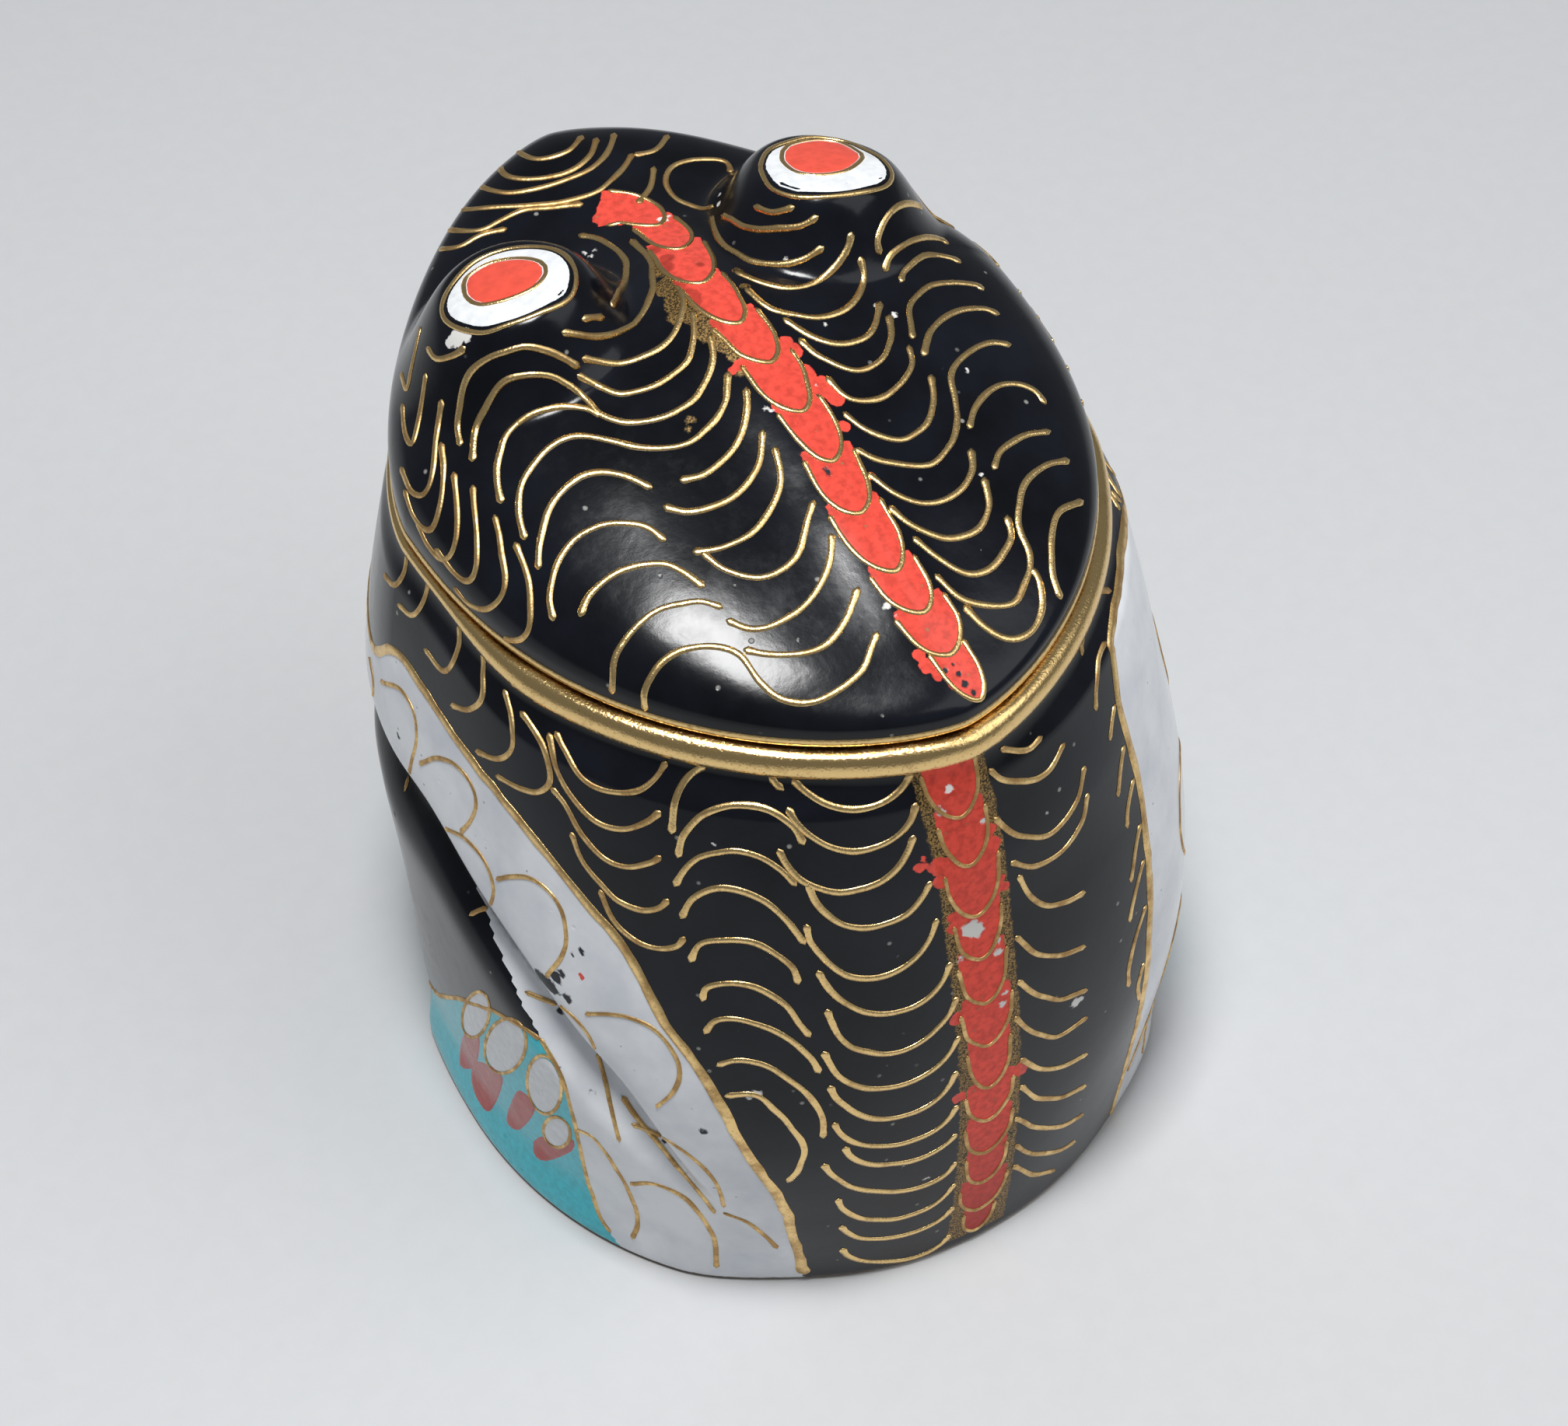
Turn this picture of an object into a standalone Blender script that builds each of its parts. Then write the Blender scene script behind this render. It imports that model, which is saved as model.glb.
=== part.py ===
"""Lidded trinket box in the form of a crouching frog: a hollow enamelled metal body and a lid that lifts off.

Metres, +Z up. The frog faces -Y, its own left side is +X, and the box stands on its flat underside at z = 0.
The body and the lid are lofts: each ring is a pointed oval whose shape changes with height, and small relief
functions push the rings in and out for the creases, the legs, the feet and the eyes.
"""

import math
from collections import namedtuple

import bmesh
import bpy
import numpy as np
from mathutils import Vector

# Overall form
LENGTH = 0.0600
HALF_WIDTH = 0.0260
SEAM_HEIGHT = 0.0484
LID_RISE = 0.0088

# Metal
BODY_WALL = 0.0016
FLOOR_THICKNESS = 0.0018
LID_WALL = 0.0013

# Gilt rims at the seam
SEAM_GAP = 0.0003
RIM_DROP = 0.0016
RIM_STEP = 0.0010
RIM_STEP_SIDE = 0.0003
RIM_DROP_SIDE = 0.0006
LID_RIM_HEIGHT = 0.0006
COLLAR_HEIGHT = 0.0010
COLLAR_WALL = 0.0008
COLLAR_CLEARANCE = 0.00035
SOLDER_GAP = 0.0003

# Relief
CREASE_DEPTH = 0.0021
CREASE_WIDTH = 0.0022
BELLY_DEPTH = 0.0044
HIND_FOOT_RISE = 0.0008
FRONT_FOOT_RISE = 0.0022
FOOT_HEIGHT = 0.0060
FRONT_LEG_RISE = 0.0040
FRONT_LEG_WIDTH = 0.0040
EYE_RISE = 0.0042
EYE_TOP_RADIUS = 0.0040
EYE_FOOT_RADIUS = 0.0082
SPINE_RISE = 0.0006
SPINE_WIDTH = 0.0028
HEAD_OVERHANG = 0.0011

# Facets
SEGMENTS = 64
BODY_RINGS = 31
BODY_INNER_RINGS = 8
LID_RINGS = 19
LID_INNER_RINGS = 8

# Sections of the body from the floor (0) to the seam (1). Breadth is a share of HALF_WIDTH. Rear, front and
# middle are shares of LENGTH along +Y. The last three say how square (over 2) or pointed (under 2) an end is.
Section = namedtuple("Section", "height breadth rear front middle rear_side rear_tip front_end")
SECTIONS = (
    Section(0.00, 0.985, 0.505, -0.440, 0.060, 2.05, 2.05, 2.20),
    Section(0.17, 0.995, 0.505, -0.450, 0.042, 2.30, 2.30, 2.30),
    Section(0.37, 1.000, 0.498, -0.460, 0.017, 2.60, 2.60, 2.30),
    Section(0.58, 1.000, 0.482, -0.467, -0.017, 2.45, 2.45, 2.20),
    Section(0.79, 0.954, 0.450, -0.480, -0.075, 2.10, 2.30, 1.75),
    Section(0.95, 0.875, 0.410, -0.493, -0.100, 1.70, 2.35, 1.55),
    Section(1.00, 0.846, 0.405, -0.495, -0.100, 1.55, 2.35, 1.55),
)

# Height of the lid along the back, from snout to rear tip: shares of LENGTH along +Y, shares of LID_RISE.
BACK_PLACES = (-0.55, -0.44, -0.37, -0.31, -0.25, -0.17, -0.10, 0.00, 0.13, 0.20, 0.26, 0.31, 0.35, 0.44)
BACK_HEIGHTS = (1.00, 0.94, 0.84, 0.79, 0.83, 0.95, 1.00, 0.91, 0.71, 0.61, 0.50, 0.41, 0.33, 0.26)

# Fall of the lid from its crown to its edge, as height = (1 - reach ** square) ** (1 / full).
Fall = namedtuple("Fall", "square full")
SIDE_FALL = Fall(2.2, 2.0)
HEAD_FALL = Fall(5.1, 3.9)
TAIL_FALL = Fall(3.1, 2.8)

# Height of the crease under the thigh: shares of LENGTH along +Y, shares of SEAM_HEIGHT.
CREASE_PLACES = (-0.45, -0.09, 0.02, 0.11, 0.20, 0.28, 0.33, 0.37, 0.41, 0.50)
CREASE_HEIGHTS = (0.58, 0.59, 0.595, 0.555, 0.505, 0.435, 0.385, 0.31, 0.20, 0.02)

# Stretches of the body along +Y, as shares of LENGTH: start, full, still full, end.
THIGH_STRETCH = (-0.42, -0.34, 0.33, 0.43)
HIND_FOOT_STRETCH = (-0.17, -0.10, 0.36, 0.46)
BELLY_STRETCH = (-0.07, -0.19)
FRONT_LEG_STRETCH = (-0.24, -0.38)

# The outer ring half way up the body runs along the crease, within this span of heights, as shares of the wall.
# The crease's place along the body is read at this height, a share of SEAM_HEIGHT.
CREASE_RING = 0.5
CREASE_SPAN = (0.20, 0.70)
CREASE_SECTION = 0.45

# The gilt band is wide round the rear: the cosines of the turn where it starts to widen, and where it is full.
REAR_BAND = (0.08, 0.45)
# Share of the band's height that is upright, under the slope up to its lip.
BAND_FACE = 0.25
BAND_LIP = 0.5 * RIM_STEP_SIDE
# Share of the wall's height from which it widens to carry the band.
CARRY_START = 0.70
# Powers that keep the lid's end forms, its overhang and its spine to their own ends.
END_POWER = 4
OVERHANG_POWER = 1.5
SPINE_POWER = 4
# Power that sets the lid's rings closer towards the crown.
LID_RING_POWER = 0.9

EYE_PLACE = (0.188 * LENGTH, -0.193 * LENGTH)
FRONT_LEG_PLACE = 0.46 * HALF_WIDTH
FRONT_LEG_TOP = 0.58 * SEAM_HEIGHT

BLACK_ENAMEL = ((0.012, 0.014, 0.019, 1), 0.12, 0.0)
GILT_BRASS = ((0.72, 0.46, 0.16, 1), 0.28, 1.0)


def smooth_step(low, high, value):
    """0 at low, 1 at high, with level ends; low may be above high."""
    share = np.clip((value - low) / (high - low), 0, 1)
    return share * share * (3 - 2 * share)


def hump(value, centre, width):
    return np.exp(-(((value - centre) / width) ** 2))


def through(places, values, at):
    """A smooth curve through the values at the given places."""
    places = np.asarray(places, float)
    values = np.asarray(values, float)
    slopes = np.gradient(values, places)
    at = np.clip(at, places[0], places[-1])
    left = np.clip(np.searchsorted(places, at, side="right") - 1, 0, len(places) - 2)
    run = places[left + 1] - places[left]
    share = (at - places[left]) / run
    rise = share * share * (3 - 2 * share)
    out = share * (1 - share) ** 2
    back = share * share * (share - 1)
    return (
        values[left] * (1 - rise)
        + values[left + 1] * rise
        + run * (slopes[left] * out + slopes[left + 1] * back)
    )


def section_at(height):
    """The section's values at these heights, worked out between the stations."""
    stations = [section.height for section in SECTIONS]
    return Section(
        height, *(through(stations, column, height) for column in list(zip(*SECTIONS))[1:])
    )


def oval(turn, section):
    """Points of the section's outline. Turn is 0 at the rear, a quarter turn on the frog's left side (+X)."""
    across = np.abs(np.sin(turn))
    middle = section.middle * LENGTH
    rear = (section.rear * LENGTH - middle) * (1 - across**section.rear_side).clip(0) ** (
        1 / section.rear_tip
    )
    front = (section.front * LENGTH - middle) * (1 - across**section.front_end).clip(0) ** (
        1 / section.front_end
    )
    x = section.breadth * HALF_WIDTH * np.sin(turn)
    return x, middle + np.where(np.cos(turn) >= 0, rear, front)


def outward(x, y):
    """Unit vectors that point out of a ring of points that runs clockwise seen from above."""
    along_x = np.roll(x, -1) - np.roll(x, 1)
    along_y = np.roll(y, -1) - np.roll(y, 1)
    length = np.hypot(along_x, along_y)
    return -along_y / length, along_x / length


def turns():
    """One turn of ring angles, that run from the rear round the frog's left side."""
    return np.linspace(0, 2 * math.pi, SEGMENTS, endpoint=False)


def grown(x, y, distance):
    """The ring moved outwards by a distance, in plan."""
    out_x, out_y = outward(x, y)
    return x + out_x * distance, y + out_y * distance


def ring(x, y, z):
    return np.stack([x, y, np.broadcast_to(z, x.shape)], axis=1)


def seam_outline():
    return oval(turns(), SECTIONS[-1])


def rearness():
    """1 round the rear of the seam, 0 along the sides and the front, where the gilt band is narrow."""
    return smooth_step(*REAR_BAND, np.cos(turns()))


def rim_step():
    return RIM_STEP_SIDE + (RIM_STEP - RIM_STEP_SIDE) * rearness()


def rim_drop():
    return RIM_DROP_SIDE + (RIM_DROP - RIM_DROP_SIDE) * rearness()


def stretch(along, start, full, still_full, end):
    """1 between full and still_full, falling to 0 at start and end."""
    return smooth_step(start, full, along) * smooth_step(end, still_full, along)


def crease_height(y):
    """The crease under the thigh falls from the front of the flank to the floor at the rump."""
    return SEAM_HEIGHT * through(CREASE_PLACES, CREASE_HEIGHTS, y / LENGTH)


def body_relief(x, y, z):
    """How far the body's surface stands out of the plain oval, negative where it is cut in."""
    along = y / LENGTH
    crease = crease_height(y)
    groove = -CREASE_DEPTH * hump(z, crease, CREASE_WIDTH) * stretch(along, *THIGH_STRETCH)
    # The belly draws in under the thighs and the chest, deepest at the floor.
    belly = -BELLY_DEPTH * smooth_step(*BELLY_STRETCH, along) * smooth_step(crease, 0, z)
    hind_foot = HIND_FOOT_RISE * stretch(along, *HIND_FOOT_STRETCH) * smooth_step(FOOT_HEIGHT, 0, z)
    leg = hump(np.abs(x), FRONT_LEG_PLACE, FRONT_LEG_WIDTH) * smooth_step(*FRONT_LEG_STRETCH, along)
    front_leg = FRONT_LEG_RISE * leg * smooth_step(FRONT_LEG_TOP, 0, z)
    front_foot = FRONT_FOOT_RISE * leg * smooth_step(FOOT_HEIGHT, 0, z)
    return groove + belly + hind_foot + front_leg + front_foot


def along_crease(share, top):
    """Shares of the wall's height for one outer ring, warped so that the middle ring follows the crease."""
    _, y = oval(turns(), section_at(CREASE_SECTION))
    crease_share = (crease_height(y) / top).clip(*CREASE_SPAN)
    return share ** (np.log(crease_share) / math.log(CREASE_RING))


def body_ring(share, inset=0.0):
    """One ring of the body, at a share of its height under the rim, moved inwards by inset."""
    top = SEAM_HEIGHT - rim_drop() - SOLDER_GAP
    if inset == 0:
        share = along_crease(share, top)
    z = share * top
    x, y = oval(turns(), section_at(z / SEAM_HEIGHT))
    # The upper stretch widens to carry the gilt band.
    carried = rim_step() * smooth_step(CARRY_START, 1, share)
    x, y = grown(x, y, body_relief(x, y, z) + carried - inset)
    return ring(x, y, z)


def lid_height_over(y):
    return LID_RISE * through(BACK_PLACES, BACK_HEIGHTS, y / LENGTH)


def lid_point(turn, share):
    """The lid's surface: share is 0 at the crown and 1 at its lower edge."""
    rim_x, rim_y = oval(turn, SECTIONS[-1])
    crown = SECTIONS[-1].middle * LENGTH
    angle = share * math.pi / 2
    to_rear = (1 + np.cos(turn)) / 2
    to_front = 1 - to_rear
    # The head is boxy at the front, the sides are a plain dome, and the rear tip is a little fuller.
    square, full = (
        side + (head - side) * to_front**END_POWER + (tail - side) * to_rear**END_POWER
        for side, head, tail in zip(SIDE_FALL, HEAD_FALL, TAIL_FALL)
    )
    reach = np.sin(angle)
    rise = (1 - reach**square).clip(0) ** (1 / full)
    overhang = HEAD_OVERHANG * to_front**OVERHANG_POWER * np.sin(2 * angle)
    span = np.hypot(rim_x, rim_y - crown)
    reach = reach + overhang / span
    x = reach * rim_x
    y = crown + reach * (rim_y - crown)
    z = lid_foot() + lid_height_over(y) * rise
    z = z + SPINE_RISE * hump(x, 0, SPINE_WIDTH) * (1 - reach.clip(0, 1) ** SPINE_POWER)
    away = np.hypot(np.abs(x) - EYE_PLACE[0], y - EYE_PLACE[1])
    return x, y, z + EYE_RISE * smooth_step(EYE_FOOT_RADIUS, EYE_TOP_RADIUS, away)


def lid_foot():
    return SEAM_HEIGHT + SEAM_GAP + LID_RIM_HEIGHT + SOLDER_GAP


def lid_ring(share, inset=0.0):
    """One ring of the lid, moved inwards along the surface normal by inset."""
    turn = turns()
    here = np.stack(lid_point(turn, np.full_like(turn, share)), axis=1)
    if inset == 0:
        return here
    if share == 1:
        # The edge is moved in plan only, so that it stays level.
        return ring(*grown(here[:, 0], here[:, 1], -inset), here[:, 2])
    small = 1e-3
    round_it = np.stack(lid_point(turn + small, np.full_like(turn, share)), axis=1) - here
    inner = share - small
    down_it = here - np.stack(lid_point(turn, np.full_like(turn, inner)), axis=1)
    normal = np.cross(round_it, down_it)
    normal /= np.linalg.norm(normal, axis=1, keepdims=True)
    moved = here - normal * inset
    # No point of the inside hangs below the edge.
    moved[:, 2] = moved[:, 2].clip(lid_foot())
    return moved


def loft(name, rings, closed, finish):
    """An object whose skin runs from ring to ring. Open ends are closed by a fan to the middle of the end ring."""
    mesh = bpy.data.meshes.new(name)
    shape = bmesh.new()
    rows = [[shape.verts.new(point) for point in points] for points in rings]
    pairs = list(zip(rows, rows[1:]))
    if closed:
        pairs.append((rows[-1], rows[0]))
    for lower, upper in pairs:
        for here in range(SEGMENTS):
            beside = (here + 1) % SEGMENTS
            shape.faces.new((lower[here], lower[beside], upper[beside], upper[here]))
    if not closed:
        for row, points in ((rows[0], rings[0]), (rows[-1], rings[-1])):
            hub = shape.verts.new((0, points[:, 1].mean(), points[:, 2].mean()))
            for here in range(SEGMENTS):
                shape.faces.new((row[here], row[(here + 1) % SEGMENTS], hub))
    bmesh.ops.triangulate(shape, faces=shape.faces)
    bmesh.ops.recalc_face_normals(shape, faces=shape.faces)
    shape.to_mesh(mesh)
    shape.free()
    mesh.shade_smooth()
    mesh.set_sharp_from_angle(angle=math.radians(40))
    made = bpy.data.objects.new(name, mesh)
    mesh.materials.append(finish)
    return made


def material(name, look):
    colour, roughness, metallic = look
    made = bpy.data.materials.new(name)
    made.use_nodes = True
    shader = made.node_tree.nodes["Principled BSDF"]
    shader.inputs["Base Color"].default_value = colour
    shader.inputs["Roughness"].default_value = roughness
    shader.inputs["Metallic"].default_value = metallic
    return made


def make_base():
    """The hollow body: flat underside, wall up to the rim, and the inside down to the floor plate."""
    outside = [body_ring(share) for share in np.linspace(0, 1, BODY_RINGS)]
    top = outside[-1][:, 2].min()
    floor_share = FLOOR_THICKNESS / top
    inside = [body_ring(share, BODY_WALL) for share in np.linspace(1, floor_share, BODY_INNER_RINGS)]
    inside[-1][:, 2] = FLOOR_THICKNESS
    return loft("base", outside + inside, False, material("black_enamel_base", BLACK_ENAMEL))


def make_base_rim():
    """The gilt band round the mouth, with the thin collar that stands up inside the lid."""
    x, y = seam_outline()
    collar_out = LID_WALL + COLLAR_CLEARANCE
    collar_in = collar_out + COLLAR_WALL
    low = SEAM_HEIGHT - rim_drop()
    high = SEAM_HEIGHT + COLLAR_HEIGHT
    profile = (
        (rim_step(), low),
        (rim_step(), low + BAND_FACE * rim_drop()),
        (BAND_LIP, SEAM_HEIGHT),
        (-collar_out, SEAM_HEIGHT),
        (-collar_out, high),
        (-collar_in, high),
        (-collar_in, low),
    )
    rings = [ring(*grown(x, y, distance), z) for distance, z in profile]
    return loft("base_rim", rings, True, material("gilt_brass_base", GILT_BRASS))


def make_lid():
    """The hollow lid: the frog's upper back and head, with both eyes raised in it."""
    shares = np.linspace(0, 1, LID_RINGS + 1)[1:] ** LID_RING_POWER
    outside = [lid_ring(share) for share in shares]
    inner_shares = np.linspace(1, 0, LID_INNER_RINGS + 1)[:-1]
    inside = [lid_ring(share, LID_WALL) for share in inner_shares]
    return loft("lid", outside + inside, False, material("black_enamel_lid", BLACK_ENAMEL))


def make_lid_rim():
    """The thin gilt edge under the lid."""
    x, y = seam_outline()
    low = SEAM_HEIGHT + SEAM_GAP
    high = low + LID_RIM_HEIGHT
    profile = ((0, low), (0, high), (-LID_WALL, high), (-LID_WALL, low))
    rings = [ring(*grown(x, y, distance), np.full_like(x, z)) for distance, z in profile]
    return loft("lid_rim", rings, True, material("gilt_brass_lid", GILT_BRASS))


def centre_on_origin(pieces):
    """Puts the middle of the whole box, seen from above, at the origin, with the underside at z = 0."""
    points = np.array([vertex.co for piece in pieces for vertex in piece.data.vertices])
    middle = (points.min(axis=0) + points.max(axis=0)) / 2
    shift = Vector((-middle[0], -middle[1], -points[:, 2].min()))
    for piece in pieces:
        for vertex in piece.data.vertices:
            vertex.co += shift


def clear_scene():
    for old in list(bpy.data.objects):
        bpy.data.objects.remove(old, do_unlink=True)


def main():
    clear_scene()
    group = bpy.data.collections.new("frog_box")
    bpy.context.scene.collection.children.link(group)
    pieces = [make_base(), make_base_rim(), make_lid(), make_lid_rim()]
    centre_on_origin(pieces)
    for piece in pieces:
        group.objects.link(piece)


main()
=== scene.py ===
"""Looks of the enamel frog box: enamel skins, gilt cell wires, eyes, feet, rims and the stage.

The solids give the form. This script lays finer skins of the same form over the base and the lid, colours
them in cells, and runs the gilt wires over them. Curves that the photograph shows are given by its pixels,
in the frame of 2016 by 1834, and are laid on the skin from the photograph's viewpoint. Most of the hidden
side repeats them mirrored.
"""

import math
from collections import namedtuple
from functools import lru_cache

import bpy
import numpy as np
from mathutils import Matrix, Vector
from mathutils.bvhtree import BVHTree


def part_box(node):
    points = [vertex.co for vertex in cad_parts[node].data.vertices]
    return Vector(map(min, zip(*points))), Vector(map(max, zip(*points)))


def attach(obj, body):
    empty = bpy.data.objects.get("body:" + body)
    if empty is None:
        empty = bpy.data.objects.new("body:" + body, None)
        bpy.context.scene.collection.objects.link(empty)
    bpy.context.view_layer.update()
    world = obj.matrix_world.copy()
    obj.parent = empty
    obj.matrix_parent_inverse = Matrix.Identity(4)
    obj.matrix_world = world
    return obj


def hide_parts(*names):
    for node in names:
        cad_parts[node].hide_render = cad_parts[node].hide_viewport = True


bl_info = {
    "name": "Enamel frog box",
    "version": (1, 0, 0),
    "blender": (4, 5, 0),
    "location": "3D View > Sidebar > Frog box",
    "description": "Dresses the frog box in cloisonne enamel with gilt wires, and sets its stage",
    "category": "Object",
}

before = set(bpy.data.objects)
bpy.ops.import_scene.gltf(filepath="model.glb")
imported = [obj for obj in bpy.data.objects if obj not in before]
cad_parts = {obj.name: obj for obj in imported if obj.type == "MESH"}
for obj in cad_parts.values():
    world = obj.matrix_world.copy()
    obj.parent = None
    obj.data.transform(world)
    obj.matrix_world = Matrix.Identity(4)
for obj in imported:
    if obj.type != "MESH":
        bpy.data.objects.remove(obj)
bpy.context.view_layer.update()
MM = 0.001

# Form of the solids, in metres
LENGTH = 0.0600
HALF_WIDTH = 0.0260
SEAM_HEIGHT = 0.0484
LID_RISE = 0.0088
BODY_WALL = 0.0016
FLOOR_THICKNESS = 0.0018
LID_WALL = 0.0013
SEAM_GAP = 0.0003
RIM_DROP = 0.0016
RIM_STEP = 0.0010
RIM_STEP_SIDE = 0.0003
RIM_DROP_SIDE = 0.0006
LID_RIM_HEIGHT = 0.0006
COLLAR_HEIGHT = 0.0010
COLLAR_WALL = 0.0008
COLLAR_CLEARANCE = 0.00035
CREASE_DEPTH = 0.0021
CREASE_WIDTH = 0.0022
BELLY_DEPTH = 0.0044
HIND_FOOT_RISE = 0.0008
FRONT_FOOT_RISE = 0.0022
FOOT_HEIGHT = 0.0060
FRONT_LEG_RISE = 0.0040
FRONT_LEG_WIDTH = 0.0040
EYE_RISE = 0.0042
EYE_TOP_RADIUS = 0.0040
EYE_FOOT_RADIUS = 0.0082
SPINE_RISE = 0.0006
SPINE_WIDTH = 0.0028
HEAD_OVERHANG = 0.0011
SOLDER_GAP = 0.0003
# The gilt band is narrow where the cosine of the turn is under the first of these, and wide over the second.
REAR_BAND = (0.08, 0.45)
# Share of the body's height from which it widens towards the band
CARRY_START = 0.70
# Powers of the lid's fall towards the head and the tail, of its overhang, and of the end of the spine
END_POWER = 4
OVERHANG_POWER = 1.5
SPINE_POWER = 4

Section = namedtuple("Section", "height breadth rear front middle rear_side rear_tip front_end")
SECTIONS = (
    Section(0.00, 0.985, 0.505, -0.440, 0.060, 2.05, 2.05, 2.20),
    Section(0.17, 0.995, 0.505, -0.450, 0.042, 2.30, 2.30, 2.30),
    Section(0.37, 1.000, 0.498, -0.460, 0.017, 2.60, 2.60, 2.30),
    Section(0.58, 1.000, 0.482, -0.467, -0.017, 2.45, 2.45, 2.20),
    Section(0.79, 0.954, 0.450, -0.480, -0.075, 2.10, 2.30, 1.75),
    Section(0.95, 0.875, 0.410, -0.493, -0.100, 1.70, 2.35, 1.55),
    Section(1.00, 0.846, 0.405, -0.495, -0.100, 1.55, 2.35, 1.55),
)
BACK_PLACES = (-0.55, -0.44, -0.37, -0.31, -0.25, -0.17, -0.10, 0.00, 0.13, 0.20, 0.26, 0.31, 0.35, 0.44)
BACK_HEIGHTS = (1.00, 0.94, 0.84, 0.79, 0.83, 0.95, 1.00, 0.91, 0.71, 0.61, 0.50, 0.41, 0.33, 0.26)
Fall = namedtuple("Fall", "square full")
SIDE_FALL = Fall(2.2, 2.0)
HEAD_FALL = Fall(5.1, 3.9)
TAIL_FALL = Fall(3.1, 2.8)
CREASE_PLACES = (-0.45, -0.09, 0.02, 0.11, 0.20, 0.28, 0.33, 0.37, 0.41, 0.50)
CREASE_HEIGHTS = (0.58, 0.59, 0.595, 0.555, 0.505, 0.435, 0.385, 0.31, 0.20, 0.02)
THIGH_STRETCH = (-0.42, -0.34, 0.33, 0.43)
HIND_FOOT_STRETCH = (-0.17, -0.10, 0.36, 0.46)
BELLY_STRETCH = (-0.07, -0.19)
FRONT_LEG_STRETCH = (-0.24, -0.38)
EYE_PLACE = (0.188 * LENGTH, -0.193 * LENGTH)
FRONT_LEG_PLACE = 0.46 * HALF_WIDTH
FRONT_LEG_TOP = 0.58 * SEAM_HEIGHT

# The solids are moved along Y so that the whole box is centred. The lid's edge tells by how much.
SHIFT_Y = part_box("lid_rim")[0][1] - SECTIONS[-1].front * LENGTH

# Fine surface
SKIN_INSET = 0.00010
BODY_SEGMENTS = 432
BODY_ROWS = 188
LID_ROWS = 180
LID_ROW_POWER = 0.92
INNER_ROWS = 24
# The skin's top edge draws in under the gilt band. Its lowest edge turns in a little, as fired enamel does.
TOP_TUCK = 0.15 * MM
TOP_TUCK_START = 0.95
FLOOR_EDGE = 0.35 * MM
FLOOR_EDGE_INSET = 0.22 * MM
UNDER_INSETS = (4 * MM, 1.2 * MM, 0.8 * MM)
PAD_RINGS = 9
PAD_EDGE_DEPTH = 0.04 * MM
# A field's distance where there is no field, in metres
FAR = 1.0

# The photograph's viewpoint
PHOTO_SIZE = (2016, 1834)
FOCAL_PIXELS = 4000
VIEW_AZIMUTH = math.radians(149.8)
VIEW_ELEVATION = math.radians(49.4)
VIEW_DISTANCE = 0.2484
VIEW_TARGET = np.array((-0.01224, -0.0182 + SHIFT_Y, 0.0))
SENSOR_WIDTH_MM = 36

# Stage: the pixel at which the key light makes its highlight, and the places and sizes of lights and floor
HIGHLIGHT_PIXEL = (905, 815)
KEY_DISTANCE = 0.42
KEY_SIZE = 0.11
FILL_PLACE = (-0.35, 0.30, 0.55)
FILL_TARGET = (0, 0, 0.03)
FILL_SIZE = 0.5
FLOOR_HALF = 1.5
FLOOR_DROP = 0.00005

# Finishes: the enamel's specular level, and the name, tarnish and roughness of each kind of gilt; the darker
# kinds, for the flank and lower wires, are partly real wear and partly painted shade
ENAMEL_SPECULAR = 0.26
RIM_GILT = ("gilt_rim", 0.02, 0.17)
WIRE_GILT = ("gilt_wire", 0.10, 0.26)
BORDER_GILT = ("border_wire", 0.20, 0.30)
DULL_SHADED_GILT = ("dull_shaded_wire", 0.24, 0.34)
WORN_SHADED_GILT = ("worn_shaded_wire", 0.30, 0.40)

# Rims: where the round face of the band starts, as a share of its height, its dents, and the collar's edges
BEAD_START = 0.30
DENT_DEPTH = 0.05 * MM
COLLAR_ROUNDING = 0.15 * MM

# Wires: steps along them, distance between bends, how much they swell along their length and at their ends
WIRE_STEP = 0.22 * MM
WIRE_BEND = 1.1 * MM
WIRE_SWELL = 0.13
WIRE_END_SWELL = 0.22
BORDER_STEP = 0.4 * MM
STRIPE_WIRE_WIDTH = 0.00036
# A wire's section: shares of its half width, and of its height above the enamel
WIRE_SECTION = ((-1.0, -0.9), (-0.86, 0.55), (0.0, 1.0), (0.86, 0.55), (1.0, -0.9))

# Scales of the chest, which the photograph doesn't show: heights of the rows, and the half widths of a scale
# and of the whole
CHEST_ROWS = (0.034, 0.028, 0.022, 0.016, 0.010)
CHEST_SCALE_HALF = 0.0042
CHEST_HALF = 0.016

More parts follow.
